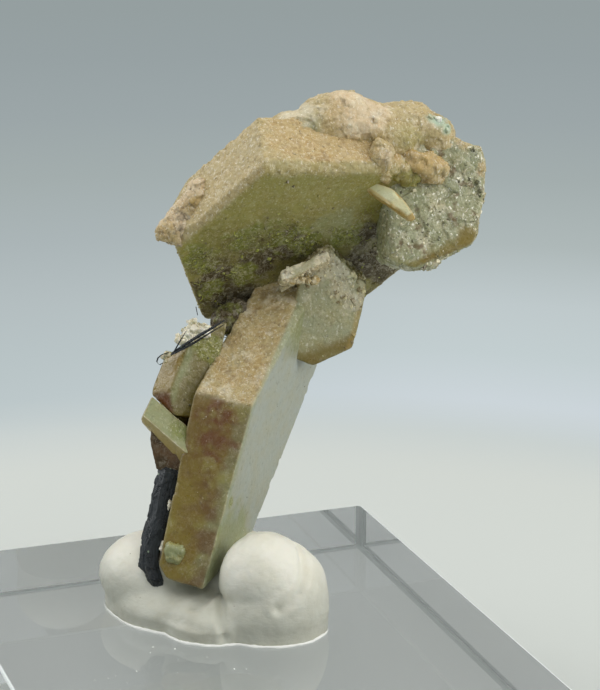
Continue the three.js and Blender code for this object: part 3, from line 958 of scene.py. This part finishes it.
            wash("redBrown", [9], 0.95),
            wash("paleGreen", [0], 0.6, near=[(8, 0.5)]),
            wash("moss", [0], 0.7, spots=[(0.4, 3.7, 25.9, 1.2), (0.8, 3.6, 25.3, 0.9)]),
            wash("tan", [2], 0.6)],
        "growth": {
            "block_grit": grains([
                area([0], 0.7, spots=[(0.4, 3.7, 25.9, 1.3), (0.8, 3.6, 25.3, 1.0)]), area([2], 0.8),
                area([0, 8], 0.08)],
                0.14, 0.05, 0.22, 0.2, 0.9, (214, 212, 160), (60, 56, 26))},
    },
    "left_plate": {
        "at": (-2.9, 2.4, 21.9), "axis": (0.038, -0.77, 0.637), "depth": 1.6,
        "sides": [(-52.3, 0.72), (-103.8, 1.57)],
        "cuts": [(127.5, 4.4, 0.72), (53.0, -3, 1.38), (121.1, -27, 1.12), (85.6, -18, 1.44)],
        "voxel": 0.04, "tint": "paleGreen",
        "washes": [
            wash("greyGreen", [0], 0.5, patches=(0.8, -0.2, 0.4)),
            wash("yellowOlive", [2, 3, 5, 6, 7]),
            wash("honey", [4, 6], 0.6),
            wash("moss", [0], 0.6, spots=[(-2.1, 1.9, 21.3, 1.0)], soft=0.8),
            wash("pale", strength=0.5, edges=0.08)],
    },
    "brown_block": {
        "at": (-2.9, 2.3, 19.6), "axis": (-0.48, -0.877, 0.02), "depth": 1.8,
        "sides": [(-20, 1.6), (80, 1.2), (101, 0.8), (179, 0.85), (-94, 3.0)], "voxel": 0.045,
        "tint": "brown",
        "washes": [wash("dark", strength=0.75, patches=(0.8, -0.5, 0.3))],
    },
}


def dress(mesh, spec, seed):  # a crystal or a lump, and each of its growths as a piece of its own
    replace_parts(addPiece(mesh, mineral), "catapleiite_crystals")
    for k, (name, facts) in enumerate(spec.get("growth", {}).items()):
        values = {"Where": name, **facts["values"], "Seed": seed + k, "Material": mineral}
        more = grown(f"{mesh.name}_{name}", mesh, growGroups[facts["kind"]], values)
        for amount in set(spec["growth"]) & set(more.attributes.keys()):
            more.attributes.remove(more.attributes[amount])
        addPiece(more, mineral, smooth=False)


for number, (name, spec) in enumerate(crystals.items()):
    dress(makeCrystal(name, spec, 1000 * (number + 1)), spec, 10 * number + 1)
print("crystals made")

# Lumps that crust the plates: soft unions of pebbles with a rough skin
lumpSets = {
    "crown": {
        "pebbles": [
            ((6.7, 5.4, 38.2), (1.9, 1.8, 1.5)), ((8.3, 5.3, 38.8), (1.5, 1.8, 1.75)),
            ((9.6, 4.9, 39.2), (1.5, 1.7, 1.75)), ((11.0, 4.7, 38.7), (1.4, 1.6, 1.5)),
            ((12.6, 4.5, 38.6), (1.5, 1.5, 1.35)), ((14.2, 4.3, 38.6), (1.3, 1.5, 1.3)),
            ((15.4, 3.5, 38.0), (1.0, 1.3, 1.15)), ((12.4, 3.3, 37.9), (1.1, 1.0, 0.9))],
        "voxel": 0.075, "blend": 0.35, "square": 2.4, "rough": 0.13, "tint": "tan",
        "washes": [
            wash("pale", strength=0.6, spots=[(6.6, 4.6, 39.6, 1.8)], soft=0.8),
            wash("greyGreen", strength=0.6, spots=[(7.2, 4.0, 39.2, 1.4)], soft=0.8),
            wash("peach", spots=[(9.9, 3.6, 40.2, 2.3), (11.2, 3.6, 39.6, 1.4)]),
            wash(
                "orangeTan", strength=0.6,
                spots=[(8.3, 3.6, 40.3, 1.2), (14.9, 3.0, 39.3, 1.0), (8.6, 3.4, 39.2, 1.2)]),
            wash("olive", strength=0.6, spots=[(13.0, 2.9, 38.4, 1.6)], soft=0.8),
            wash(
                "white",
                spots=[(10.94, 3.47, 39.28, 0.5), (11.0, 3.29, 38.75, 0.45), (10.49, 3.49, 38.81, 0.4),
                    (11.42, 3.19, 38.92, 0.4)]),
            wash("teal", strength=0.9, spots=[(15.05, 2.6, 39.5, 0.9), (15.6, 2.2, 39.0, 0.7)]),
            wash("pale", strength=0.5, patches=(0.8, 0.1, 0.5))],
        "growth": {
            "crown_grains": grains([
                area(strength=0.2, patches=(1.0, 0.0, 0.5))],
                0.16, 0.05, 0.22, 0.2, 0.7),
            "white_bits": grains([
                area(
                    spots=[(10.94, 3.47, 39.28, 0.55), (11.0, 3.29, 38.75, 0.5),
                        (10.49, 3.49, 38.81, 0.45), (11.42, 3.19, 38.92, 0.45)]),
                area(strength=0.8, spots=[(15.05, 2.6, 39.5, 0.8), (15.5, 2.2, 39.0, 0.6)])],
                0.2, 0.15, 0.5, 0.0, 0.8, (255, 253, 245), (206, 200, 176))},
    },
    "tongue": {
        "pebbles": [
            ((10.95, 2.05, 37.75), (0.5, 0.6, 0.6)), ((11.1, 2.2, 37.1), (0.45, 0.6, 0.6)),
            ((11.35, 2.5, 36.35), (0.4, 0.5, 0.5)), ((11.45, 2.7, 35.85), (0.35, 0.4, 0.4))],
        "voxel": 0.04, "blend": 0.25, "square": 3.2, "rough": 0.14, "tint": "tan", "facetSizes": (0.6, 0.3),
        "washes": [wash("peach", spots=[(10.95, 0.8, 37.5, 1.3)], soft=0.9)],
    },
    "ridge_lumps": {
        "pebbles": [
            ((12.6, 2.5, 36.2), (0.7, 0.65, 0.45)), ((12.1, 2.55, 36.4), (0.5, 0.5, 0.4)),
            ((13.2, 2.45, 36.0), (0.6, 0.5, 0.3))],
        "voxel": 0.04, "blend": 0.3, "square": 3.2, "rough": 0.18, "tint": "olive",
        "facetSizes": (0.6, 0.3),
        "washes": [
            wash("brown", strength=0.4, patches=(0.7, 0.0, 0.5)),
            wash("tan", strength=0.8, spots=[(12.4, 1.5, 36.8, 0.5)])],
        "growth": {
            "ridge_fibres": fibres([
                area(strength=0.5, spots=[(13.0, 1.5, 35.9, 0.7)])],
                0.12, 0.5, 0.04, 0.05, 0.9, (176, 186, 116), (50, 60, 24))},
    },
    "tan_lumps": {
        "pebbles": [
            ((13.8, 2.45, 36.65), (0.9, 0.65, 0.32)), ((14.6, 2.2, 36.2), (0.55, 0.6, 0.42)),
            ((13.0, 2.55, 36.75), (0.7, 0.5, 0.28)), ((14.2, 2.35, 36.45), (0.65, 0.6, 0.38))],
        "voxel": 0.04, "blend": 0.35, "square": 3.0, "rough": 0.18, "tint": "orangeTan",
        "facetSizes": (0.6, 0.3),
        "washes": [
            wash("honey", strength=0.7, patches=(0.8, -0.2, 0.3)),
            wash("tan", strength=0.7, spots=[(14.6, 1.2, 36.1, 0.7)])],
        "growth": {
            "tan_grit": grains([area(strength=0.12)], 0.15, 0.04, 0.15, 0.2, 0.7)},
    },
    "ledge_crumbs": {
        "pebbles": [
            ((5.5, 4.3, 29.6), (0.2, 0.3, 0.16)), ((5.95, 4.1, 29.55), (0.22, 0.3, 0.16)),
            ((6.4, 3.95, 29.5), (0.3, 0.3, 0.15)), ((6.85, 3.85, 29.55), (0.2, 0.3, 0.14)),
            ((6.15, 4.15, 29.75), (0.4, 0.4, 0.22)), ((7.3, 3.8, 29.5), (0.3, 0.3, 0.15))],
        "voxel": 0.03, "blend": 0.03, "square": 3.4, "rough": 0.08, "tint": "tan",
        "facetSizes": (0.3, 0.15),
        "washes": [
            wash("honey", strength=0.6, patches=(0.5, -0.2, 0.3)),
            wash("pale", strength=0.6, patches=(0.4, 0.0, 0.4))],
        "growth": {
            "crumb_grit": grains([
                area(strength=0.7)],
                0.12, 0.05, 0.26, 0.1, 0.9, (236, 224, 180), (104, 84, 44))},
    },
    "corner_moss": {
        "pebbles": [((2.35, 6.3, 26.55), (0.9, 0.9, 0.65)), ((3.1, 6.7, 27.1), (0.8, 0.8, 0.8))],
        "voxel": 0.05, "blend": 0.3, "rough": 0.14, "tint": "dark", "facetSizes": (0.5, 0.25),
        "washes": [wash("moss", strength=0.6, patches=(0.5, -0.1, 0.4))],
        "growth": {
            "corner_fibres": fibres([
                area(strength=0.2)],
                0.13, 0.4, 0.05, 0.02, 0.9, (150, 152, 80), (84, 70, 30))},
    },
    "needle_seat": {
        "pebbles": [
            ((-2.4, 4.4, 25.35), (0.15, 0.15, 0.14)), ((-2.1, 4.25, 25.6), (0.26, 0.25, 0.16)),
            ((-2.25, 4.3, 25.1), (0.1, 0.12, 0.1))],
        "voxel": 0.03, "blend": 0.06, "rough": 0.1, "tint": "greyGreen",
        "washes": [wash("pale", patches=(0.3, -0.1, 0.3))],
    },
    "left_ridge": {
        "pebbles": [
            ((-1.75, 4.8, 33.0), (0.55, 0.6, 0.42)), ((-1.1, 5.1, 33.2), (0.6, 0.6, 0.5)),
            ((-0.55, 5.2, 33.8), (0.6, 0.6, 0.6)), ((0.1, 5.1, 34.6), (0.65, 0.6, 0.8)),
            ((0.5, 5.3, 35.3), (0.55, 0.6, 0.7))],
        "voxel": 0.045, "blend": 0.4, "square": 2.6, "rough": 0.16, "tint": "peach",
        "facetSizes": (0.6, 0.3),
        "washes": [
            wash("orangeTan", strength=0.95, spots=[(-2.0, 4.4, 33.0, 1.1), (-0.1, 4.4, 34.7, 1.1)]),
            wash("honey", strength=0.6, spots=[(-0.1, 4.4, 34.9, 0.5)]),
            wash("dark", strength=0.5, patches=(0.4, 0.2, 0.5))],
        "growth": {
            "nodule_grit": grains([area(strength=0.35)], 0.13, 0.04, 0.18, 0.2, 0.9)},
    },
    "druse_chips": {
        "pebbles": [
            ((13.6, 1.6, 30.75), (1.0, 0.7, 0.42)), ((14.3, 1.5, 30.95), (0.6, 0.6, 0.4)),
            ((12.9, 1.9, 30.8), (0.5, 0.6, 0.35))],
        "voxel": 0.05, "blend": 0.1, "rough": 0.14, "tint": "druse",
        "washes": [wash("pale", strength=0.7, patches=(0.6, -0.1, 0.3))],
        "growth": {
            "chip_grains": grains([area(strength=0.7)], 0.16, 0.08, 0.34, 0.1, 0.9)},
    },
    "flakes": {
        "pebbles": [((-3.82, 0.35, 14.6), (0.12, 0.14, 0.42)), ((-3.2, 0.8, 17.0), (0.1, 0.12, 0.45))],
        "voxel": 0.025, "blend": 0.03, "rough": 0.06, "tint": "white",
    },
    "foot_bead": {
        "pebbles": [
            ((-3.55, -0.75, 14.75), (0.45, 0.4, 0.42)), ((-3.1, -0.85, 14.6), (0.42, 0.4, 0.4)),
            ((-3.6, -0.85, 14.3), (0.38, 0.38, 0.3)), ((-3.2, -0.9, 14.2), (0.4, 0.4, 0.3)),
            ((-2.95, -0.9, 14.85), (0.22, 0.25, 0.2))],
        "voxel": 0.035, "blend": 0.05, "rough": 0.08, "tint": "paleGreen", "facetSizes": (0.5, 0.2),
        "washes": [wash("olive", strength=0.6, patches=(0.4, 0, 0.4))],
    },
    "left_core": {
        "pebbles": [((-1.3, 4.7, 21.6), (1.2, 1.2, 2.0))], "voxel": 0.07, "blend": 0.1, "rough": 0.1,
        "tint": "olive",
        "washes": [wash("brown", patches=(0.8, 0, 0.4))],
    },
    "sugary_grains": {
        "pebbles": [
            ((-0.2, 4.7, 26.85), (0.42, 0.5, 0.32)), ((-0.65, 4.5, 26.6), (0.34, 0.4, 0.28)),
            ((0.35, 4.5, 26.65), (0.42, 0.5, 0.35)), ((-1.1, 4.4, 26.3), (0.34, 0.4, 0.24)),
            ((0.3, 4.9, 26.1), (0.8, 0.6, 0.5)), ((-0.25, 4.8, 27.2), (0.2, 0.3, 0.2))],
        "voxel": 0.045, "blend": 0.06, "rough": 0.12, "tint": "white", "facetSizes": (0.4, 0.2),
        "washes": [wash("greyGreen", strength=0.6, patches=(0.5, 0.1, 0.4))],
        "growth": {
            "sugar": grains([
                area(strength=1.0)],
                0.15, 0.1, 0.36, 0.0, 0.8, (250, 248, 226), (150, 148, 104))},
    },
}


def softLeast(values, blend):  # the least value of each row, blended where others come near
    least = values.min(1)
    return least - blend * np.log(np.exp((least[:, None] - values) / blend).sum(1))


def pebbleField(pebbles, blend, square=2.0, tilt=0.0):  # round pebbles, or squarish ones turned a little
    def one(points, k, at, halves):
        angles = (tilt * math.sin(9 * k), tilt * math.cos(7 * k), tilt * math.sin(5 * k))
        q = (points - np.array(at)) @ np.array(Euler(angles).to_matrix()) / np.array(halves)
        far = (np.abs(q) ** square).sum(1) ** (1 / square)
        return far * (far - 1) / np.maximum(np.linalg.norm(q / np.array(halves), axis=1), 1e-6)

    def field(points):
        each = [one(points, k, *pebble) for k, pebble in enumerate(pebbles)]
        return softLeast(np.stack(each, axis=1), blend)
    return field


def ball(at, halves, around=24, up=16):
    bm = bmesh.new()
    bmesh.ops.create_uvsphere(bm, u_segments=around, v_segments=up, radius=1)
    verts = np.array([v.co for v in bm.verts]) * np.array(halves) + np.array(at)
    faces = [[v.index for v in f.verts] for f in bm.faces]
    bm.free()
    return verts, faces


def makeLump(name, spec, seed):
    verts, quads = evenMesh(name, [ball(*p) for p in spec["pebbles"]], spec["voxel"])
    field = pebbleField(spec["pebbles"], spec["blend"], spec.get("square", 2.8), 0.4)
    verts, outward = settle(verts, field)
    count = len(verts)
    nothing = {"share": np.ones((count, 1)), "inside": np.zeros((count, 1)), "second": np.zeros(count)}
    paint = washed(verts, nothing, spec, seed)
    large, small = spec.get("facetSizes", (0.9, 0.35))
    lift = spec["rough"] * (0.8 * fractal(verts, 1.1, seed, 4) + 1.5 * cellNoise(verts, large, seed + 1))
    grit = 0.1 * small / 0.35  # small facets stand out less
    lift += grit * cellNoise(verts, small, seed + 2) * paint[:, 6]
    return finished(name, verts + outward * lift[:, None], quads, verts, nothing, paint, spec, seed)


for number, (name, spec) in enumerate(lumpSets.items()):
    dress(makeLump(name, spec, 20000 + 1000 * number), spec, 500 + 10 * number)
print("lumps made")

# Clear block: polished faces, and edges that are slightly frosted
blockFacts = {
    "left": -15, "right": 15, "front": -19, "back": 15, "height": 10, "topEdge": 0.16, "edge": 0.4,
    "frost": 0.6, "whiteness": 0.9,
}


def blockMaterial(facts):
    constants = {"Transmission Weight": 1.0, "IOR": 1.49, "Base Color": (0.985, 1.0, 0.99, 1)}
    material, net, p, sockets = newMaterial("clearAcrylic", constants)
    edge = net.painted("edge", "Fac")
    scratch = net.noise(net.vector("MULTIPLY", p, (0.3, 1.6, 1.0)), 1.2, 4, 0.65)
    haze = net.noise(p, 0.16, 3, 0.6)
    rough = scratch.between(0.55, 0.8) * haze.between(0.4, 0.7) * 0.05 + 0.006
    feed(net, rough + edge * facts["frost"], sockets["Roughness"])
    feed(net, net.bump(net.noise(p, 0.1, 2, 0.5), 0.15, 0.02), sockets["Normal"])
    white = net.add("ShaderNodeBsdfDiffuse", None, {"Color": (*linear((238, 242, 240)), 1)})
    output = material.node_tree.nodes["Material Output"]
    clear = Wire(net, material.node_tree.nodes["Principled BSDF"].outputs[0])
    mixed = net.add("ShaderNodeMixShader", None, {0: edge * facts["whiteness"], 1: clear, 2: white})
    feed(net, mixed, output.inputs["Surface"])
    return material


def makeBlock(facts):
    bm = bmesh.new()
    bmesh.ops.create_cube(bm, size=1)
    for v in bm.verts:
        x, y = facts["right" if v.co.x > 0 else "left"], facts["back" if v.co.y > 0 else "front"]
        v.co = Vector((x, y, facts["height"] if v.co.z > 0 else 0)) * mm
    lower = [e for e in bm.edges if min(v.co.z for v in e.verts) == 0]
    bmesh.ops.bevel(bm, geom=lower, offset=facts["edge"] * mm, segments=2, profile=0.5, affect="EDGES")
    upper = [e for e in bm.edges if min(v.co.z for v in e.verts) > (facts["height"] - 0.01) * mm]
    bmesh.ops.bevel(bm, geom=upper, offset=facts["topEdge"] * mm, segments=2, profile=0.5, affect="EDGES")
    mesh = bpy.data.meshes.new("clear_block")
    bm.to_mesh(mesh)
    bm.free()
    smallest = 1.1 * facts["edge"] * (facts["back"] - facts["front"]) * mm * mm
    layer = mesh.attributes.new("edge", "FLOAT", "FACE")
    layer.data.foreach_set("value", [float(face.area < smallest) for face in mesh.polygons])
    return mesh


block = addPiece(makeBlock(blockFacts), blockMaterial(blockFacts), smooth=False)
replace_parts(block, "display_block")
print("block made")

# Putty pressed on the block in lobes, creased where the lobes meet
puttyFacts = {
    "body": [
        ((2.35, -3.0, 12.3), (3.05, 3.1, 2.95)), ((2.0, -3.7, 11.0), (3.2, 2.9, 2.3)),
        ((-3.6, 3.1, 11.9), (3.4, 3.3, 2.55)), ((-3.4, 1.1, 10.6), (3.0, 3.4, 1.5)),
        ((-1.7, -2.2, 10.4), (2.7, 3.0, 1.45)), ((1.4, 2.2, 11.6), (3.6, 3.6, 2.5))],
    "swirl": [((1.5, -3.2, 13.2), (2.7, 2.65, 2.75))],
    "blend": 0.34, "swirlBlend": 0.05, "voxel": 0.08, "floor": 9.99, "skirt": 10.75, "seed": 501,
    "waves": 0.07, "wrinkles": 0.02,
    "creases": [  # points, width, depth
        ([(3.55, -3.2, 15.0), (3.5, -4.6, 14.55), (3.25, -5.4, 13.95), (2.65, -6.0, 13.15),
          (1.95, -6.2, 12.6), (1.35, -6.25, 12.3)], 0.26, 0.2),
        ([(-0.9, -2.2, 12.2), (-1.35, -3.7, 11.85), (-1.65, -4.55, 11.4), (-1.7, -5.05, 10.95),
          (-1.7, -5.2, 10.5)], 0.24, 0.2),
        ([(-2.7, -2.8, 11.75), (-1.6, -2.1, 11.9), (-0.8, -1.3, 12.0)], 0.35, 0.22),
        ([(-4.25, -2.5, 11.05), (-3.5, -4.1, 10.95), (-2.4, -5.0, 10.75)], 0.35, 0.08),
    ],
    # painted shade: heights below which the putty's colour is darker, and above which it is lighter
    "shadeUpTo": 11.3, "unshadedFrom": 14.3,  # heights between which the colour changes
    "contact": [  # the rim's places seen from the front, and its widths along them
        (-6.2, 4.05), (-5.75, 2.15), (-5.35, 0.3), (-4.75, -1.05), (-4.25, -2.4), (-3.75, -3.2),
        (-3.25, -4.05), (-2.2, -4.9), (-1.1, -5.45), (0.1, -5.9), (1.15, -6.1), (2.45, -6.1),
        (3.5, -5.85), (4.1, -5.6), (4.7, -4.65)],
    "contactWidths": [0.07, 0.12, 0.26, 0.18, 0.3, 0.28, 0.26, 0.3, 0.24, 0.24, 0.26, 0.24, 0.2, 0.26, 0.14],
    "footBand": (10.0, 10.15), "rimHeight": 10.03, "rimStep": 0.2, "rimOutset": 0.06, "rimReach": 0.12,
}


def nearLine(points, line):
    best = np.full(len(points), 99.0)
    for a, b in zip(line, line[1:]):
        a, b = np.array(a), np.array(b)
        t = np.clip((points - a) @ (b - a) / ((b - a) @ (b - a)), 0, 1)
        best = np.minimum(best, np.linalg.norm(points - a - t[:, None] * (b - a), axis=1))
    return best


def puttyMaterial(facts):
    constants = {
        "Subsurface Weight": 0.25, "Subsurface Radius": (1.0, 0.8, 0.6), "Subsurface Scale": 0.5 * mm,
        "Specular IOR Level": 0.4,
    }
    material, net, p, sockets = newMaterial("putty", constants)
    cloud = net.noise(p, 0.5, 4, 0.6)
    # painted shade: the lower putty gets a darker colour and the upper a lighter one, for the shade that
    # falls low on it
    unshadedHigh = net.mix(cloud.between(0.35, 0.7), (238, 235, 221), (228, 225, 208))
    shadedLow = net.mix(cloud.between(0.35, 0.7), (200, 200, 186), (188, 187, 171))
    rise = net.parted(p, "Z").between(facts["shadeUpTo"], facts["unshadedFrom"])
    colour = net.mix(rise, shadedLow, unshadedHigh)  # lighter higher up: painted shade darkens the lower putty
    ridges = net.noise(net.vector("MULTIPLY", p, (1.0, 1.0, 2.2)), 2.6, 5, 0.65)
    dust = net.cells(p, 2.4)
    tone = net.channels(dust.out("Color"))
    colour = net.mix((tone > 0.93) * dust.between(0.12, 0.04) * 0.7, colour, (120, 105, 84))
    feed(net, colour, sockets["Base Color"])
    feed(net, ridges.between(0.3, 0.7) * 0.2 + 0.36, sockets["Roughness"])
    height = ridges + net.noise(p, 8, 3, 0.6) * 0.35 + net.noise(p, 22, 2, 0.5) * 0.15
    feed(net, net.bump(height, 0.6), sockets["Normal"])
    return material


def puttyField(facts):
    body, swirl = pebbleField(facts["body"], facts["blend"]), pebbleField(facts["swirl"], facts["blend"])

    def field(points):
        points = np.c_[points[:, :2], np.maximum(points[:, 2], facts["skirt"])]
        return softLeast(np.stack([body(points), swirl(points)], axis=1), facts["swirlBlend"])
    return field


def makePutty(facts):
    balls = []
    for at, halves in facts["body"] + facts["swirl"]:
        verts, faces = ball(at, halves, 48, 32)
        verts[verts[:, 2] < at[2] - 0.01, 2] = facts["floor"]
        balls.append((verts, faces))
    verts, quads = evenMesh("putty_lump", balls, facts["voxel"])
    field = puttyField(facts)
    start = verts.copy()
    verts, outward = settle(verts, field)
    skin = np.where(start[:, 2] > facts["floor"] + 0.06, 1, softStep(field(start), -0.3, -0.05))[:, None]
    verts = start + (verts - start) * skin
    outward = outward * skin
    waves, wrinkles = fractal(verts, 1.6, facts["seed"]), fractal(verts, 0.35, facts["seed"] + 1, 2)
    lift = facts["waves"] * waves + facts["wrinkles"] * wrinkles
    for line, width, depth in facts["creases"]:
        away = nearLine(verts, line)
        shoulder = np.exp(-(((away - 2.2 * width) / width) ** 2))  # a low swelling on both sides
        lift -= depth * np.exp(-((away / width) ** 2)) - 0.25 * depth * shoulder
    verts = verts + outward * lift[:, None]
    low = verts[:, 2] < facts["floor"]
    verts[low, 2] = facts["floor"]
    return meshFrom("putty_lump", verts * mm, quads)


puttyMesh = makePutty(puttyFacts)
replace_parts(addPiece(puttyMesh, puttyMaterial(puttyFacts)), "putty")
print("putty made")


# Aegirine: a striated prism, a striated blade and fine needles
def aegirineMaterial(lengthwise):
    material, net, p, sockets = newMaterial("aegirine", {"Specular IOR Level": 0.45})
    cloud = net.noise(p, 1.4, 4, 0.6)
    colour = net.mix(cloud.between(0.3, 0.7), (22, 27, 31), (38, 44, 47))
    ends = net.vector("DOT_PRODUCT", p, lengthwise, "Value")
    squeezed = net.vector("SUBTRACT", p, net.scaled(lengthwise, ends * 0.93))
    streaks = net.noise(squeezed, 9.0, 4, 0.6)
    colour = net.mix(streaks.between(0.55, 0.8) * 0.5, colour, (74, 84, 86))
    grit = net.cells(p, 3.0)
    tone = net.channels(grit.out("Color"))
    colour = net.mix((tone > 0.9) * grit.between(0.3, 0.12) * 0.8, colour, (150, 168, 140))
    feed(net, colour, sockets["Base Color"])
    feed(net, cloud.between(0.3, 0.8) * 0.3 + 0.22, sockets["Roughness"])
    height = net.noise(p, 5, 5, 0.7) + streaks * 0.8
    feed(net, net.bump(height, 0.8), sockets["Normal"])
    return material


sticks = {  # points from top to foot, with widths across the view and depths along it
    "prism": {
        "line": [
            (-2.5, 2.8, 19.1), (-2.7, 2.25, 18.45), (-3.24, 1.87, 17.2), (-3.48, 1.59, 16.37),
            (-3.92, 1.3, 15.35), (-4.38, 1.02, 14.38), (-4.52, 0.75, 13.65), (-4.51, 0.52, 13.1),
            (-4.36, 0.21, 12.53), (-4.33, 0.05, 12.1)],
        "wide": [1.6, 1.75, 1.65, 1.6, 1.6, 1.42, 1.38, 1.5, 1.35, 0.9],
        "deep": [0.9, 1.1, 1.15, 1.15, 1.2, 1.2, 1.25, 1.3, 1.2, 0.8],
        "Corners": 5.0, "Grooves": 0.12, "Groove Count": 5.0, "Notches": 0.55, "Notch Count": 5.0,
        "Pits": 0.05, "Broken": 0.6, "Rings": 220, "Sides": 90, "Seed": 3,
    },
    "striated_blade": {
        "line": [
            (-2.2, 3.05, 25.95), (-1.5, 2.9, 26.4), (-0.6, 2.75, 26.95), (0.3, 2.6, 27.45),
            (0.98, 2.5, 27.85)],
        "wide": [0.08, 0.17, 0.21, 0.15, 0.07], "deep": [0.1, 0.18, 0.2, 0.16, 0.1],
        "Corners": 4.0, "Grooves": 0.35, "Groove Count": 6.0, "Notches": 0.2, "Notch Count": 6.0, "Pits": 0.0,
        "Broken": 0.4, "Rings": 60, "Sides": 40, "Seed": 5,
    },
    "striated_blade_low": {
        "line": [
            (-2.3, 3.0, 25.85), (-1.6, 2.85, 26.2), (-0.8, 2.7, 26.6), (0.2, 2.55, 27.2), (0.95, 2.45, 27.6)],
        "wide": [0.1, 0.17, 0.14, 0.09, 0.04], "deep": [0.1, 0.14, 0.14, 0.1, 0.05],
        "Corners": 4.0, "Grooves": 0.3, "Groove Count": 5.0, "Notches": 0.5, "Notch Count": 9.0,
        "Rings": 60, "Sides": 24, "Seed": 21,
    },
    "needle_upright": {
        "line": [(-2.08, 3.0, 26.05), (-1.7, 3.05, 26.62), (-1.28, 3.1, 27.22)],
        "wide": [0.09, 0.09, 0.05], "deep": [0.09, 0.09, 0.05],
    },
    "needle_curved": {
        "line": [
            (-2.1, 4.0, 25.75), (-2.55, 4.03, 25.62), (-2.8, 4.05, 25.42), (-2.88, 4.04, 25.18),
            (-2.74, 3.96, 25.0), (-2.5, 3.94, 25.12)],
        "wide": [0.06, 0.08, 0.1, 0.1, 0.09, 0.06], "deep": [0.1, 0.12, 0.12, 0.12, 0.12, 0.1],
    },
    "needle_short": {
        "line": [(-0.27, 4.2, 28.4), (-0.22, 4.05, 27.9)], "wide": [0.06, 0.05], "deep": [0.06, 0.05],
    },
}
plainStick = {
    "Corners": 5.0, "Grooves": 0.1, "Groove Count": 3.0, "Notches": 0.15, "Notch Count": 5.0, "Pits": 0.0,
    "Broken": 0.1, "Rings": 24, "Sides": 10, "Seed": 9,
}
viewWay = (0.3295, 0.9039, -0.2729)  # the way the photograph looks
prismWay = (-0.27, -0.36, -0.89)  # from the prism's top to its foot


def stickCarrier(name, facts):
    mesh = bpy.data.meshes.new(name)
    line = facts["line"]
    steps = [(i, i + 1) for i in range(len(line) - 1)]
    mesh.from_pydata([tuple(c * mm for c in point) for point in line], steps, [])
    for key in ("wide", "deep"):
        layer = mesh.attributes.new(key, "FLOAT", "POINT")
        layer.data.foreach_set("value", [w * mm for w in facts[key]])
    return mesh


def makeStick(name, facts, group, material):
    values = {key: facts.get(key, plain) for key, plain in plainStick.items()}
    values["Broken"] = values["Broken"] * mm
    start, end = np.array(facts["line"][0]), np.array(facts["line"][-1])
    along = unit(end - start)
    across = unit(np.cross(along, np.array(viewWay)))
    toward = np.cross(along, across)
    values.update({"Across": tuple(across), "Toward": tuple(toward), "Material": material})
    return grown("aegirine_" + name, stickCarrier(name, facts), group, values)


aegirine = aegirineMaterial(prismWay)
stick = stickGroup()
replacing = {"prism": "aegirine_prism", "striated_blade": "aegirine_blade"}
for name, facts in sticks.items():
    piece = addPiece(makeStick(name, facts, stick, aegirine), aegirine, smooth=False)
    if name in replacing:
        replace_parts(piece, replacing[name])
print("aegirine made")

# White rim where the putty meets the block, a painted highlight for the light caught along the contact, and
# dust on the block
contactFacts = {
    "Corners": 8.0, "Grooves": 0.3, "Groove Count": 1.0, "Notches": 1.1, "Notch Count": 30.0, "Pits": 0.2,
    "Broken": 0.1, "Rings": 260, "Sides": 10, "Seed": 11, "Across": (0.0, 0.0, 1.0),
    "Toward": (0.34, 0.94, 0.0),
}


def plainMaterial(name, colour, roughness):
    return newMaterial(name, {"Base Color": (*linear(colour), 1), "Roughness": roughness})[0]


def footLine(mesh, facts):  # follows the foot of a mesh past the places of its contact
    verts = arraysOf(mesh)[0] / mm
    low, high = facts["footBand"]
    foot = verts[(verts[:, 2] > low) & (verts[:, 2] < high), :2]
    middle = foot.mean(0)
    line = []
    for a, b in zip(facts["contact"], facts["contact"][1:]):
        a, b = np.array(a), np.array(b)
        for t in np.arange(0, 1, facts["rimStep"] / np.linalg.norm(b - a)):
            way = unit(a + t * (b - a) - middle)
            off = np.abs((foot - middle) @ np.array((-way[1], way[0])))
            reach = np.where(off < facts["rimReach"], (foot - middle) @ way, 0).max()
            line.append(middle + way * (reach + facts["rimOutset"]))
    line = np.array(line)
    line[1:-1] = (line[:-2] + 2 * line[1:-1] + line[2:]) / 4
    return [(x, y, facts["rimHeight"]) for x, y in line.tolist()]


def makeContact(facts, values, group, material):
    line, widths = footLine(puttyMesh, facts), facts["contactWidths"]
    widths = np.interp(np.linspace(0, 1, len(line)), np.linspace(0, 1, len(widths)), widths)
    carrier = stickCarrier("putty_rim", {"line": line, "wide": widths, "deep": widths})
    values = {**values, "Broken": values["Broken"] * mm, "Material": material}
    return grown("putty_contact_rim", carrier, group, values)


contactWhite = plainMaterial("puttyRim", (248, 248, 242), 0.5)
# painted highlight: a plain white bead along the putty's foot stands in for the light caught where the putty
# meets the block
addPiece(makeContact(puttyFacts, contactFacts, stick, contactWhite), contactWhite)

dustFacts = {
    "corners": [(-12.4, -8.0), (-1.8, -11.8), (0.2, -7.0), (-10.5, -1.2)], "height": 10, "amount": 0.5,
    "paint": (0.8, 0.8, 0.75, 1), "Spacing": 0.5, "Smallest": 0.025, "Largest": 0.11, "Seed": 77,
}


def makeDust(facts, material):
    corners = [(x * mm, y * mm, facts["height"] * mm) for x, y in facts["corners"]]
    carrier = meshFrom("dust", corners, [(0, 1, 2, 3)])
    amount = carrier.attributes.new("dust", "FLOAT", "POINT")
    amount.data.foreach_set("value", [facts["amount"]] * len(corners))
    colourLayer(carrier, "paint", np.array([facts["paint"]] * len(corners)))
    values = {key: facts[key] * mm for key in ("Spacing", "Smallest", "Largest")}
    values.update({"Where": "dust", "Seed": facts["Seed"], "Material": material})
    return grown("block_dust", carrier, growGroups["grains"], values)


addPiece(makeDust(dustFacts, contactWhite), contactWhite, smooth=False)
print("rim and dust made")
